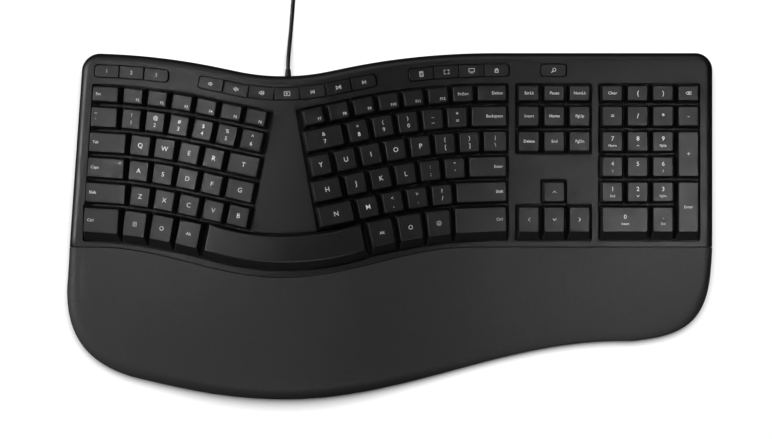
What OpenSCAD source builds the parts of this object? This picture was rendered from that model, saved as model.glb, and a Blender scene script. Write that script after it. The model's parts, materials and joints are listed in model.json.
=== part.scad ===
// Ergonomic keyboard: a split key layout on one gull-winged body with a padded palm rest.
// Millimetres, +Z up, the origin on the desk under the middle of the body.

/* [Body outline] */
// Overall width of the body
body_w = 491; // [486:1:500]
// Distance from the middle to the straight part of the rear edge
rear_reach = 131.7; // [130:0.1:136]
// Distance from the middle to the straight part of the front edge
palm_reach = 87.3; // [84:0.1:95]
// How far the palm rest swells forward at the middle of the split
palm_dip = 44.5; // [36:0.5:50]
// Width of the swell to the left of the split
palm_swell_left = 272; // [255:1:285]
// Width of the swell to the right of the split
palm_swell_right = 258; // [245:1:270]
// Distance from the middle to the straight part of the deck seam
seam_reach = 15.8; // [15.5:0.1:20]
// How far the seam swings forward round the space bar
seam_dip = 22.4; // [22:0.1:26]
// Half the width of the seam's swing
seam_swing = 142; // [138:1:150]
// Lean of the left side, in degrees
left_lean = 4.1; // [3.5:0.1:4.5]
// Radius of the rear corners
rear_corner = 13; // [10:0.5:16]
// Radius of the rolled rim of the deck
rim_r = 6; // [4:0.5:7]

/* [Gull wing] */
// Height of the deck along its ridge
crest_h = 35; // [34:0.5:40]
// Place of the ridge across the width
crest_x = -76; // [-80:0.5:-72]
// Fall of the left wing over its run
left_fall = 23; // [18:0.5:23]
// Run of the left wing
left_run = 225; // [220:1:240]
// Fall of the right wing over its run
right_fall = 17.5; // [14:0.5:18]
// Run of the right wing
right_run = 172; // [165:1:180]

/* [Row arcs] */
// Radius of the arcs along the rear edge
arc_r = 545; // [530:1:570]
// Largest turn of the arcs towards the split, in degrees
wing_angle = 12.2; // [11:0.1:12.5]
// Place where the left arcs start
left_arc_x = -243; // [-244:0.5:-242]
// Place where the right arcs start
right_arc_x = 84; // [83:0.5:85]
// Softness of the dip between the arcs
valley_blend = 15; // [10:1:20]

/* [Keys] */
// Pitch of the straight key blocks
key_pitch = 19.05; // [19:0.01:19.2]
// Gap between neighbouring keys
key_gap = 1.15; // [1.0:0.05:1.3]
// Height of the key tops over the deck
key_rise = 7; // [6:0.1:8]
// Depth of the key skirts under the deck's surface
key_sink = 1; // [0.5:0.1:1.2]
// Inset of a key's top from its foot
key_inset = 1.75; // [1.5:0.05:1.9]
// Inset of the long front slope of the keys in the bottom row
front_slope = 6.3; // [5:0.1:7]
// Wall of a key
key_wall = 1.4; // [1:0.1:1.6]
// Travel of a key
key_travel = 2.5; // [2:0.1:2.6]
// Side of a key's square plunger
stem_w = 4.5; // [4:0.1:5]
// Clearance of a plunger in its guide
stem_clear = 0.4; // [0.3:0.05:0.5]
// Margin of a key well round its keys
well_margin = 0.9; // [0.7:0.05:1]
// Depth of the hot keys along the rear
hot_d = 9; // [8:0.5:9.5]
// Height of the hot keys over the deck
hot_rise = 1.2; // [0.8:0.1:2]
// Distance of the hot keys from the rear edge
hot_back = 13.7; // [13:0.1:14.5]

/* [Shells] */
// Height of the rubber feet under the case
foot_h = 2; // [1.5:0.1:3]
// Thickness of the bottom case's floor
floor_t = 2; // [1.6:0.1:2.2]
// Height of the joint between the cases
part_z = 6.5; // [6:0.1:7]
// Thickness of the case walls
wall_t = 3; // [2.4:0.1:3.2]
// Thickness of the deck
skin_t = 2.2; // [1.8:0.1:2.5]
// Gap of the seam between the deck and the palm rest
seam_gap = 0.4; // [0.3:0.1:0.6]
// Thickness of the padding
pad_t = 5; // [4:0.1:6]
// Wall of the palm rest base
base_t = 2.5; // [2:0.1:3]
// Share of its height that the palm rest keeps at its front
palm_keep = 0.64; // [0.6:0.01:0.75]

/* [Key bed] */
// Depth of the guide plate under the deck's surface
plate_drop = 5; // [4.8:0.1:5.2]
// Thickness of the guide plate
plate_t = 1.2; // [1:0.1:1.3]
// Depth of the dome sheet under the deck's surface
sheet_drop = 10.2; // [10:0.1:10.4]
// Thickness of the dome sheet
sheet_t = 0.6; // [0.5:0.1:0.7]
// Thickness of the membrane circuit
membrane_t = 0.4; // [0.3:0.1:0.5]
// Thickness of the steel back plate
back_t = 0.8; // [0.6:0.1:0.9]
// Gap between a plunger and its dome
dome_gap = 0.3; // [0.2:0.05:0.4]
// Inset of the key bed from the case
bed_inset = 8; // [7:0.5:9]

/* [Tilt feet] */
// Width of a tilt foot
tilt_w = 30; // [24:1:34]
// Length of a tilt foot
tilt_l = 24; // [20:1:28]
// Thickness of a tilt foot
tilt_t = 5; // [4:0.1:5.5]
// Radius of a tilt foot's pivot pin
pivot_r = 2; // [1.5:0.1:2.2]
// Clearance of the pivot pin in its bore
pivot_clear = 0.05; // [0.03:0.01:0.08]

/* [Screws] */
// Radius of the screw shanks
screw_r = 1.45; // [1.2:0.05:1.6]
// Radius of the screw heads
head_r = 2.8; // [2.5:0.1:3]
// Radius of the screw bosses
boss_r = 3.5; // [3.2:0.1:4]

/* [Cord] */
// Diameter of the cord
cord_d = 3; // [2.8:0.1:3.2]
// Gap between the turns of the coil
coil_gap = 0.5; // [0.45:0.05:0.8]
// Turns in each layer of the coil
layer_turns = 3; // [2:1:4]
// Layers of the coil
layers = 4; // [2:2:4]
// Radius of the coil's innermost turn
coil_in_r = 11.5; // [11:0.5:14]

/* [Hidden] */
eps = 0.01;
deg_to_rad = PI / 180;
valley_x = (left_arc_x + right_arc_x) / 2;
left_widest = 48;
floor_z = foot_h + floor_t;
stem_room = 0.3;
stem_foot = sheet_drop - key_travel - stem_room;
tall = 2 * crest_h;
lap = 0.2;
bite_clear = 0.05;
bed_room = 0.6;
dome_h = sheet_drop - stem_foot - dome_gap;
reach_all = 320;
rim_steps = [0, 0.14, 0.38, 0.68, 1];

// Bounds and blends
function lerp(a, b, t) = a + (b - a) * t;
function clamp(v, lo, hi) = min(max(v, lo), hi);
function bell(x, width) = (1 + cos(180 * clamp((x - valley_x) / width, -1, 1))) / 2;
function sum_to(list, n) = n <= 0 ? 0 : list[n - 1] + sum_to(list, n - 1);
function turn(p, a) = [p.x * cos(a) - p.y * sin(a), p.x * sin(a) + p.y * cos(a)];

// Height and tilt of the gull-winged deck
function fall(u) = (1 - cos(180 * clamp(u, 0, 1))) / 2;
function deck_z(x) = crest_h - (x < crest_x
    ? left_fall * fall((crest_x - x) / left_run)
    : right_fall * fall((x - crest_x) / right_run));
function deck_tilt(x) = atan(deck_z(x + 0.5) - deck_z(x - 0.5));

// Plan curves of the body
function arc_drop(u) =
    let (turn_end = arc_r * sin(wing_angle))
    u <= 0 ? 0
    : u < turn_end ? arc_r - sqrt(arc_r * arc_r - u * u)
    : arc_r * (1 - cos(wing_angle)) + (u - turn_end) * tan(wing_angle);
function soft_min(a, b) = min(a, b) - pow(max(valley_blend - abs(a - b), 0), 2) / (4 * valley_blend);
function rear_y(x) = rear_reach - soft_min(arc_drop(x - left_arc_x), arc_drop(right_arc_x - x));
function rear_turn(x) = atan((rear_y(x + 1) - rear_y(x - 1)) / 2);
function seam_y(x) = -seam_reach - seam_dip * bell(x, seam_swing);
function front_y(x) = -palm_reach - palm_dip * bell(x, x < valley_x ? palm_swell_left : palm_swell_right);
function left_x(y) = -body_w / 2 + (y + left_widest) * tan(left_lean);

// Inner points of a soft corner that leaves p0 along d0 and arrives at p3 along d3
function soft_corner(p0, d0, p3, d3, n) = [
    for (i = [1 : n - 1])
        let (t = i / n)
        pow(1 - t, 3) * p0 + 3 * t * pow(1 - t, 2) * (p0 + d0)
            + 3 * t * t * (1 - t) * (p3 - d3) + pow(t, 3) * p3
];

// Edge of the deck, from the left end of the seam round the rear to its right end
corner_steps = 6;
rear_steps = 44;
right_edge = body_w / 2;
corner_low = rear_reach - rear_corner;
rear_from = left_x(corner_low) + rear_corner + 1;
rear_to = right_edge - rear_corner;
handle = 0.55 * rear_corner;
deck_edge = concat(
    [[left_x(-seam_reach), -seam_reach], [left_x(corner_low), corner_low]],
    soft_corner([left_x(corner_low), corner_low], [handle * tan(left_lean), handle],
        [rear_from, rear_y(rear_from)], [handle, 0], corner_steps),
    [for (i = [0 : rear_steps]) let (x = lerp(rear_from, rear_to, i / rear_steps)) [x, rear_y(x)]],
    soft_corner([rear_to, rear_reach], [handle, 0], [right_edge, corner_low], [0, -handle], corner_steps),
    [[right_edge, corner_low], [right_edge, -seam_reach]]
);

// Edge of the palm rest, from the left end of the seam round the front to its right end
palm_corner_steps = 9;
front_steps = 30;
left_turn = [-right_edge, -50];
left_land = [-196, front_y(-196)];
right_turn = [right_edge, -20];
right_land = [185, front_y(185)];
palm_edge = concat(
    [[left_x(-seam_reach), -seam_reach], left_turn],
    soft_corner(left_turn, [0, -38], left_land, [30, -9], palm_corner_steps),
    [for (i = [0 : front_steps]) let (x = lerp(left_land.x, right_land.x, i / front_steps)) [x, front_y(x)]],
    soft_corner(right_land, [43, 4], right_turn, [0, 52], palm_corner_steps),
    [right_turn, [right_edge, -seam_reach]]
);

// Outward direction of an edge at one of its points, for an edge that runs round the given way
function edge_out(edge, i, way) =
    let (last = len(edge) - 1)
    i == 0 ? [-1, 0]
    : i == last ? [1, 0]
    : let (t = edge[i + 1] - edge[i - 1]) way * [-t.y, t.x] / norm(t);
function inset_edge(edge, m, way) = [for (i = [0 : len(edge) - 1]) edge[i] - m * edge_out(edge, i, way)];

// Closed plan of the deck, drawn in by m at the case walls and by front_m at the seam
seam_steps = 40;
function deck_plan(m, front_m) =
    let (e = inset_edge(deck_edge, m, 1), last = len(e) - 1)
    concat(
        [[e[0].x, seam_y(e[0].x) + front_m]],
        [for (i = [1 : last - 1]) e[i]],
        [[e[last].x, seam_y(e[last].x) + front_m]],
        [for (i = [1 : seam_steps - 1])
            let (x = lerp(e[last].x, e[0].x, i / seam_steps)) [x, seam_y(x) + front_m]]
    );
function body_plan(m) =
    let (rear = inset_edge(deck_edge, m, 1), front = inset_edge(palm_edge, m, -1), last = len(front) - 1)
    concat(rear, [for (i = [1 : last - 1]) front[last - i]]);

// Stations across the deck, closer where it bends
wing_step = 10;
stations = concat(
    [for (x = [-250 : wing_step : crest_x + right_run]) x],
    [crest_x + right_run, 250]
);
// Solid between two depths under the deck's surface
module band(top, bottom) {
    upper = [for (x = stations) [x, deck_z(x) - top]];
    lower = [for (i = [len(stations) - 1 : -1 : 0]) [stations[i], deck_z(stations[i]) - bottom]];
    translate([0, reach_all / 2, 0]) rotate([90, 0, 0]) linear_extrude(reach_all)
        polygon(concat(upper, lower));
}
// Solid from a level up to a depth under the deck's surface
module under_deck(level, top) {
    upper = [for (x = stations) [x, deck_z(x) - top]];
    translate([0, reach_all / 2, 0]) rotate([90, 0, 0]) linear_extrude(reach_all)
        polygon(concat(upper, [[250, level], [-250, level]]));
}
// Prism of a plan between two heights
module prism(plan, low, high) {
    translate([0, 0, low]) linear_extrude(high - low) polygon(plan);
}

// Closed solid under a grid of points: columns run from the body's edge to the seam
module skin_solid(grid, low, way) {
    cols = len(grid);
    rows = len(grid[0]);
    points = concat(
        [for (c = grid) for (p = c) p],
        [for (c = grid) [c[0].x, c[0].y, low]],
        [for (c = grid) [c[rows - 1].x, c[rows - 1].y, low]]
    );
    edge_low = cols * rows;
    seam_low = edge_low + cols;
    function top_at(c, r) = c * rows + r;
    faces = concat(
        [for (c = [0 : cols - 2]) for (r = [0 : rows - 2])
            [top_at(c, r), top_at(c + 1, r), top_at(c + 1, r + 1)]],
        [for (c = [0 : cols - 2]) for (r = [0 : rows - 2])
            [top_at(c, r), top_at(c + 1, r + 1), top_at(c, r + 1)]],
        [for (c = [0 : cols - 2]) [top_at(c, 0), edge_low + c, edge_low + c + 1, top_at(c + 1, 0)]],
        [for (c = [0 : cols - 2])
            [top_at(c, rows - 1), top_at(c + 1, rows - 1), seam_low + c + 1, seam_low + c]],
        [for (c = [0 : cols - 2]) [edge_low + c, seam_low + c, seam_low + c + 1, edge_low + c + 1]],
        [concat([seam_low, edge_low], [for (r = [0 : rows - 1]) top_at(0, r)])],
        [concat([edge_low + cols - 1, seam_low + cols - 1],
            [for (r = [rows - 1 : -1 : 0]) top_at(cols - 1, r)])]
    );
    polyhedron(points, way > 0 ? faces : [for (f = faces) [for (i = [len(f) - 1 : -1 : 0]) f[i]]]);
}

// Place on the seam that answers a point on an edge: in step along the curve, spread out at the corners
function seam_x(edge, i, from, to, end_in) =
    let (last = len(edge) - 1, left = edge[0].x + end_in, right = edge[last].x - end_in)
    i < from ? lerp(left, max(edge[from].x, left + 1), i / from)
    : i > last - to ? lerp(right, min(edge[last - to].x, right - 1), (last - i) / to)
    : edge[i].x;

function rim_drop(t, depth) = depth * (1 - sqrt(max(1 - (1 - t) * (1 - t), 0)));

// Skin of the deck
deck_corner = corner_steps + 1;
deck_rows = [for (i = [0 : len(deck_edge) - 1])
    let (
        e = deck_edge[i],
        out = edge_out(deck_edge, i, 1),
        sx = seam_x(deck_edge, i, deck_corner, deck_corner, rim_r + 1),
        rolled = [for (t = rim_steps)
            let (p = e - t * rim_r * out) [p.x, p.y, deck_z(p.x) - rim_drop(t, rim_r)]]
    )
    concat(rolled, [[sx, seam_y(sx) + seam_gap / 2, deck_z(sx)]])
];
// The ends of the seam start on the case's sides, clear of the palm rest
deck_grid = [for (c = deck_rows) [for (p = c) [p.x, max(p.y, seam_y(p.x) + seam_gap / 2), p.z]]];

// Height of the palm rest's cover at a point d inside its edge
palm_rim_z = 7.5;
function palm_z(p, d) =
    let (
        q = clamp((seam_y(p.x) - p.y) / (seam_y(p.x) - front_y(p.x)), 0, 1),
        base = deck_z(p.x) * lerp(1, palm_keep, pow(q, 1.4)),
        roll = rim_r + 5 * q,
        depth = min(base - palm_rim_z, rim_r + 16 * q)
    )
    base - (d < roll ? rim_drop(d / roll, depth) : 0);
// Grid of the palm rest, drawn in by m from its edge, by seam_m from the seam and lowered by drop
palm_corner = palm_corner_steps + 1;
function palm_grid(m, seam_m, drop, steps, inner) = [
    for (i = [0 : len(palm_edge) - 1])
        let (
            out = edge_out(palm_edge, i, -1),
            roll = rim_r + 5,
            sx = seam_x(palm_edge, i, palm_corner, palm_corner, roll + m + 3),
            s = [sx, seam_y(sx) - seam_m],
            rim = [for (t = steps) palm_edge[i] - (m + t * roll) * out],
            inmost = rim[len(rim) - 1],
            flat = concat(rim, [for (t = inner) lerp(inmost, s, t)], [s])
        )
        [for (k = [0 : len(flat) - 1])
            let (
                p = [flat[k].x, min(flat[k].y, seam_y(flat[k].x) - seam_m)],
                d = k < len(steps) ? m + steps[k] * roll : roll + m
            )
            [p.x, p.y, palm_z(p, d) - drop]]
];

// Key places. A pose is [x, y, turn]; rows follow arcs that share their centres
row_y = [100.3, 83, 64, 45, 26, 2.85];
row_d = [14, 17.5, 17.5, 17.5, 17.5, 26.1];
left_block_in = 11.2;
right_block_x = 89.3;
function row_pose(side, row, s) =
    let (
        r = arc_r - rear_reach + row_y[row],
        bend = r * wing_angle * deg_to_rad,
        a = clamp(s / r / deg_to_rad, 0, wing_angle),
        t = s < 0 ? s : max(s - bend, 0),
        across = r * sin(a) + t * cos(a)
    )
    [side < 0 ? left_arc_x + across : right_arc_x - across,
     rear_reach - arc_r + r * cos(a) - t * sin(a),
     side < 0 ? -a : a];
// Keys of one row: the widths run from the outer end of the block to the split
function row_keys(side, row, names, widths) =
    let (start = side < 0 ? left_x(row_y[row]) + left_block_in - left_arc_x : right_arc_x - right_block_x)
    [for (k = [0 : len(widths) - 1])
        [names[k], row_pose(side, row, start + sum_to(widths, k) + k * key_gap + widths[k] / 2),
         widths[k], row_d[row], row == 5 ? front_slope : key_inset]];
function repeat(v, n) = [for (i = [1 : n]) v];
key_w = 17.6;
left_keys = concat(
    row_keys(-1, 0, concat(["escape_key"], repeat("function_keys_left", 6)), concat([23], repeat(key_w, 6))),
    row_keys(-1, 1, repeat("number_keys_left", 7), concat([23.2], repeat(17.1, 5), [18.5])),
    row_keys(-1, 2, concat(["tab_key"], repeat("upper_letter_keys_left", 5)),
        concat([31.2], repeat(key_w, 4), [25.4])),
    row_keys(-1, 3, concat(["caps_lock_key"], repeat("home_letter_keys_left", 5)),
        concat([31.2], repeat(key_w, 4), [22.8])),
    row_keys(-1, 4, concat(["left_shift_key"], repeat("lower_letter_keys_left", 5)),
        concat([33.7], repeat(key_w, 4), [18.2])),
    row_keys(-1, 5, ["left_control_key", "left_system_keys", "left_system_keys", "left_alt_key"],
        [29.9, 19.9, 19.1, 19.8])
);
right_keys = concat(
    row_keys(1, 0, concat(["delete_key"], repeat("function_keys_right", 7)),
        concat([24.4, 18], repeat(key_w, 6))),
    row_keys(1, 1, concat(["backspace_key"], repeat("number_keys_right", 6)),
        concat([29], repeat(key_w, 5), [31])),
    row_keys(1, 2, repeat("upper_letter_keys_right", 8), concat([19.6], repeat(key_w, 7))),
    row_keys(1, 3, concat(["enter_key"], repeat("home_letter_keys_right", 6)),
        concat([30.8], repeat(key_w, 5), [23.2])),
    row_keys(1, 4, concat(["right_shift_key"], repeat("lower_letter_keys_right", 5)),
        concat([40.6], repeat(key_w, 4), [28])),
    row_keys(1, 5, ["right_control_key", "right_system_keys", "right_system_keys", "right_alt_key"],
        [41.4, 20.4, 20.4, 20.6])
);
// Straight blocks: columns and rows on the key pitch
nav_x = 124.4;
pad_x = 196.7;
block_w = key_pitch - key_gap;
function cell(name, x, row, w, h, front) = [name, [x, row, 0], w, h, front];
function block_key(name, x, col, row) =
    cell(name, x + col * key_pitch, row_y[row], block_w, row_d[row], row == 5 ? front_slope : key_inset);
pad_tall = row_y[2] - row_y[3] + row_d[3];
pad_enter = row_y[4] - row_y[5] + row_d[4] / 2 + row_d[5] / 2;
nav_keys = concat(
    [for (c = [-1 : 1]) block_key("lock_keys", nav_x, c, 0)],
    [for (r = [1 : 2]) for (c = [-1 : 1]) block_key("navigation_keys", nav_x, c, r)],
    [block_key("arrow_up_key", nav_x, 0, 4), block_key("arrow_left_key", nav_x, -1, 5),
     block_key("arrow_down_key", nav_x, 0, 5), block_key("arrow_right_key", nav_x, 1, 5)]
);
pad_keys = concat(
    [for (r = [0 : 1]) for (c = [-1.5 : 1.5]) block_key("number_pad_operator_keys", pad_x, c, r)],
    [for (r = [2 : 4]) for (c = [-1.5 : 0.5]) block_key("number_pad_digit_keys", pad_x, c, r)],
    [cell("number_pad_plus_key", pad_x + 1.5 * key_pitch,
        (row_y[2] + row_y[3]) / 2, block_w, pad_tall, key_inset),
     cell("number_pad_enter_key", pad_x + 1.5 * key_pitch,
        row_y[4] + row_d[4] / 2 - pad_enter / 2, block_w, pad_enter, front_slope),
     cell("number_pad_zero_key", pad_x - key_pitch, row_y[5], block_w + key_pitch, row_d[5], front_slope),
     block_key("number_pad_point_key", pad_x, 0.5, 5)]
);
keys = concat(left_keys, right_keys, nav_keys, pad_keys);

// Hot keys: [name, pose, width, rounded left end, rounded right end], in line with the rear edge
function hot_row(name, from, count) = [
    for (k = [0 : count - 1])
        let (x = from + (k + 0.5) * key_pitch, a = rear_turn(x), back = hot_back / cos(a))
        [name, [x, rear_y(x) - back, a], key_pitch - hot_gap, k == 0, k == count - 1]
];
hot_gap = 0.6;
hot_side = 23;
hot_shift = 3.3;
hot_right_x = 14.5;
hot_keys = concat(
    hot_row("hot_keys_left", hot_side - body_w / 2, 3),
    hot_row("hot_keys_middle", valley_x + hot_shift - 3.5 * key_pitch, 7),
    hot_row("hot_keys_right", hot_right_x, 4),
    hot_row("hot_keys_right", nav_x - key_pitch / 2, 1)
);

// Space bar: a band of a ring round a centre behind it
space_x = valley_x + 2;
space_r = 182;
space_half = 18.4;
space_half_front = 17.5;
space_rear = -6.1;
space_d = 26.4;
space_slope = 6;
space_steps = 14;
space_c = [space_x, space_rear + space_r];
function ring_point(r, a) = space_c + r * [sin(a), -cos(a)];
space_stems = [-12, 0, 12];
module at_space_stem(a) {
    p = ring_point(space_r + space_d / 2, a);
    translate([p.x, p.y, deck_z(p.x)]) children();
}
// Arc at a radius, drawn in from the bar's ends by a length
function ring_half(r) = lerp(space_half, space_half_front, (r - space_r) / space_d);
function ring_arc(r, end_in) =
    let (half = ring_half(r) - end_in / r / deg_to_rad)
    [for (i = [0 : space_steps]) ring_point(r, lerp(-half, half, i / space_steps))];

key_names = [
    "escape_key", "function_keys_left", "number_keys_left", "tab_key", "upper_letter_keys_left",
    "caps_lock_key", "home_letter_keys_left", "left_shift_key", "lower_letter_keys_left", "left_control_key",
    "left_system_keys", "left_alt_key", "delete_key", "function_keys_right", "backspace_key",
    "number_keys_right", "upper_letter_keys_right", "enter_key", "home_letter_keys_right", "right_shift_key",
    "lower_letter_keys_right", "right_control_key", "right_system_keys", "right_alt_key", "lock_keys",
    "navigation_keys", "arrow_up_key", "arrow_left_key", "arrow_down_key", "arrow_right_key",
    "number_pad_operator_keys", "number_pad_digit_keys", "number_pad_plus_key", "number_pad_enter_key",
    "number_pad_zero_key", "number_pad_point_key"
];
hot_names = ["hot_keys_left", "hot_keys_middle", "hot_keys_right"];

// Places of the screws: into the top case, and into the palm rest base
case_screw_at = [[-155, 113], [2, 114], [103, 118], [190, 118], [crest_x, 20], [nav_x, 45]];
palm_screw_at = [[-195, -60], [crest_x, -75], [70, -60], [195, -50]];
pad_top = floor_z + 3;
head_h = 2;
head_in = 0.2;
head_clear = 0.3;
shank_clear = 0.15;
screw_bite = 8;
palm_bite = 3;
rubber_at = [[-212, 112], [0, 108], [222, 112], [-205, -85], [-76, -112], [205, -62]];
rubber_r = 7;
tilt_at = [-165, 5];
tilt_y = -92;
pocket_gap = 0.6;
pocket_wall = 1.4;
tilt_z = foot_h + 0.6 + tilt_t / 2;
pocket_top = foot_h + tilt_t + 1.4;

// The key bed's supports and the cord's exit
rib_y = [88, 38, 0];
rib_t = 1.6;
exit_x = valley_x + 2.5;
exit_z = 8.6;
exit_y = rear_y(exit_x);
relief_r = 2.6;
relief_out = 7;
relief_hole = relief_r + 0.1;
board_at = [exit_x, 63];
board_size = [60, 28, 1.6];
board_z = 7;

// Frame of a round piece that runs inwards along the cord's exit
module at_exit(y) {
    translate([exit_x, y, exit_z]) rotate([90, 0, 0]) children();
}
// Local frame of a key on the deck
module on_deck(pose) {
    translate([pose.x, pose.y, deck_z(pose.x)]) rotate([0, -deck_tilt(pose.x), 0]) rotate([0, 0, pose.z])
        children();
}
// Tapered block: its foot is w by d, and its top is drawn in at the sides, the rear and the front
module taper(w, d, low, high, inset, front) {
    x = w / 2;
    y = d / 2;
    points = [
        [-x, -y, low], [x, -y, low], [x, y, low], [-x, y, low],
        [-x + inset, -y + front, high], [x - inset, -y + front, high],
        [x - inset, y - inset, high], [-x + inset, y - inset, high]
    ];
    polyhedron(points, [[0, 1, 2, 3], [4, 7, 6, 5], [0, 4, 5, 1], [1, 5, 6, 2], [2, 6, 7, 3], [3, 7, 4, 0]]);
}
// Places of a key's plungers: wide and tall keys have a guide post at each end
function stems(w, d) = w > 26 ? [[-w / 2 + 6, 0], [0, 0], [w / 2 - 6, 0]]
    : d > 30 ? [[0, -d / 2 + 9], [0, 0], [0, d / 2 - 6]]
    : [[0, 0]];
module key(k) {
    w = k[2];
    d = k[3];
    on_deck(k[1]) {
        difference() {
            taper(w, d, -key_sink, key_rise, key_inset, k[4]);
            taper(w - 2 * key_wall, d - 2 * key_wall, -key_sink - eps, key_rise - key_wall, key_inset, k[4]);
        }
        for (p = stems(w, d))
            translate([p.x - stem_w / 2, p.y - stem_w / 2, -stem_foot])
                cube([stem_w, stem_w, stem_foot + key_rise - key_wall / 2]);
    }
}
// Plan of a hot key, with rounded corners where its row ends
hot_corner = 2.6;
function hot_end(w, d) = [
    for (side = [-1, 1]) for (a = [0 : 30 : 90])
        [w / 2 - hot_corner * (1 - cos(side < 0 ? a - 90 : a)),
         side * (d / 2 - hot_corner) + hot_corner * sin(side < 0 ? a - 90 : a)]
];
function hot_plan(w, d, left, right) = concat(
    right ? hot_end(w, d) : [[w / 2, -d / 2], [w / 2, d / 2]],
    left ? [for (p = hot_end(w, d)) -p] : [[-w / 2, d / 2], [-w / 2, -d / 2]]
);
hot_sink = 1.5;
module hot_key(k) {
    on_deck(k[1]) {
        translate([0, 0, -hot_sink]) linear_extrude(hot_sink + hot_rise)
            polygon(hot_plan(k[2], hot_d, k[3], k[4]));
        translate([-stem_w / 2, -stem_w / 2, -stem_foot]) cube([stem_w, stem_w, stem_foot]);
    }
}

// Key wells
function well_side(side, row, s, dy) =
    let (p = row_pose(side, row, s), o = turn([0, dy], p.z)) [p.x + o.x, p.y + o.y];
arc_steps = 8;
// Ends of the wells towards the split, as lengths along the first and the last row
left_split = [156.8, 143.6];
right_split = [154, 141.6];
left_bottom_end = 105.6;
right_bottom_end = 103.4;
// Plan over some rows of a wing, grown by m: the ends of the first and the last row set its slanted sides
function wing_plan(side, first, last, s_out_a, s_out_b, s_in_a, s_in_b, m) =
    let (top = row_d[first] / 2 + well_margin + m, low = -row_d[last] / 2 - well_margin - m)
    concat(
        [for (i = [0 : arc_steps])
            well_side(side, first, lerp(s_out_a - m, s_in_a + m, i / arc_steps), top)],
        [for (i = [0 : arc_steps])
            well_side(side, last, lerp(s_in_b + m, s_out_b - m, i / arc_steps), low)]
    );
function block_start(side, row) =
    side < 0 ? left_x(row_y[row]) + left_block_in - left_arc_x - well_margin
    : right_arc_x - right_block_x - well_margin;
nav_end = 1.5 * key_pitch;
block_top = row_y[0] + row_d[0] / 2;
block_low = row_y[5] - row_d[5] / 2;
function wells(m) = [
    wing_plan(-1, 0, 4, block_start(-1, 0), block_start(-1, 4), left_split[0], left_split[1], m),
    wing_plan(-1, 5, 5, block_start(-1, 5), block_start(-1, 5), left_bottom_end, left_bottom_end, m),
    wing_plan(1, 0, 4, block_start(1, 0), block_start(1, 4), right_split[0], right_split[1], m),
    wing_plan(1, 5, 5, block_start(1, 5), block_start(1, 5), right_bottom_end, right_bottom_end, m),
    space_well(m),
    block_plan(nav_x - nav_end, nav_x + nav_end, row_y[2] - row_d[2] / 2, block_top, m),
    block_plan(nav_x - key_pitch / 2, nav_x + key_pitch / 2, row_y[5], row_y[4] + row_d[4] / 2, m),
    block_plan(nav_x - nav_end, nav_x + nav_end, block_low, row_y[5] + row_d[5] / 2, m),
    block_plan(pad_x - 2 * key_pitch, pad_x + 2 * key_pitch, block_low, block_top, m)
];
function space_well(m) =
    let (grow = well_margin + m, front = ring_arc(space_r + space_d + grow, -grow))
    concat(ring_arc(space_r - grow, -grow), [for (i = [space_steps : -1 : 0]) front[i]]);
function block_plan(left, right, low, high, m) =
    let (g = m + well_margin - key_gap / 2, v = m + well_margin)
    [[left - g, low - v], [right + g, low - v], [right + g, high + v], [left - g, high + v]];
hot_clear = 0.5;
module hot_wells(bottom) {
    for (k = hot_keys)
        let (end_gap = k[3] || k[4] ? 2 * hot_clear : 0)
        on_deck(k[1]) translate([0, 0, -bottom]) linear_extrude(bottom + rim_r)
            polygon(hot_plan(k[2] + hot_gap + end_gap, hot_d + 2 * hot_clear, k[3], k[4]));
}

module boss(at, low, high) {
    translate([at.x, at.y, low]) cylinder(r = boss_r, h = high - low, $fn = 32);
}
module screw_hole(at, low, high, r) {
    translate([at.x, at.y, low]) cylinder(r = r, h = high - low, $fn = 32);
}

collar_t = 1.6;
module top_case() {
    color("#26272a") difference() {
        union() {
            difference() {
                skin_solid(deck_grid, part_z, 1);
                intersection() {
                    prism(deck_plan(wall_t, wall_t), part_z - 1, tall);
                    under_deck(part_z - 1, skin_t);
                }
            }
            intersection() {
                band(skin_t - lap, plate_drop);
                union() for (w = wells(collar_t)) prism(w, 0, tall);
            }
            for (p = case_screw_at) boss(p, pad_top, deck_z(p.x) - skin_t / 2);
        }
        for (w = wells(0)) prism(w, 0, tall);
        hot_wells(plate_drop - lap);
        for (p = case_screw_at) screw_hole(p, pad_top - 1, pad_top + screw_bite, screw_r + bite_clear);
        at_exit(exit_y + 1) cylinder(r = relief_hole, h = wall_t + 2, $fn = 32);
    }
}

// Plan of the key bed: guide plate, domes, membrane and back plate share it
bed_front = wall_t + bed_room;
bed_plan = deck_plan(bed_inset, bed_front);
bed_bottom = sheet_drop + sheet_t + membrane_t + back_t;
boss_room = boss_r + bed_room;
module boss_passages() {
    for (p = case_screw_at) translate([p.x - boss_room, p.y - boss_room, 0])
        cube([2 * boss_room, 2 * boss_room, tall]);
}
module bed_layer(top, thickness) {
    difference() {
        intersection() {
            band(top, top + thickness);
            prism(bed_plan, 0, tall);
        }
        boss_passages();
    }
}

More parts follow.
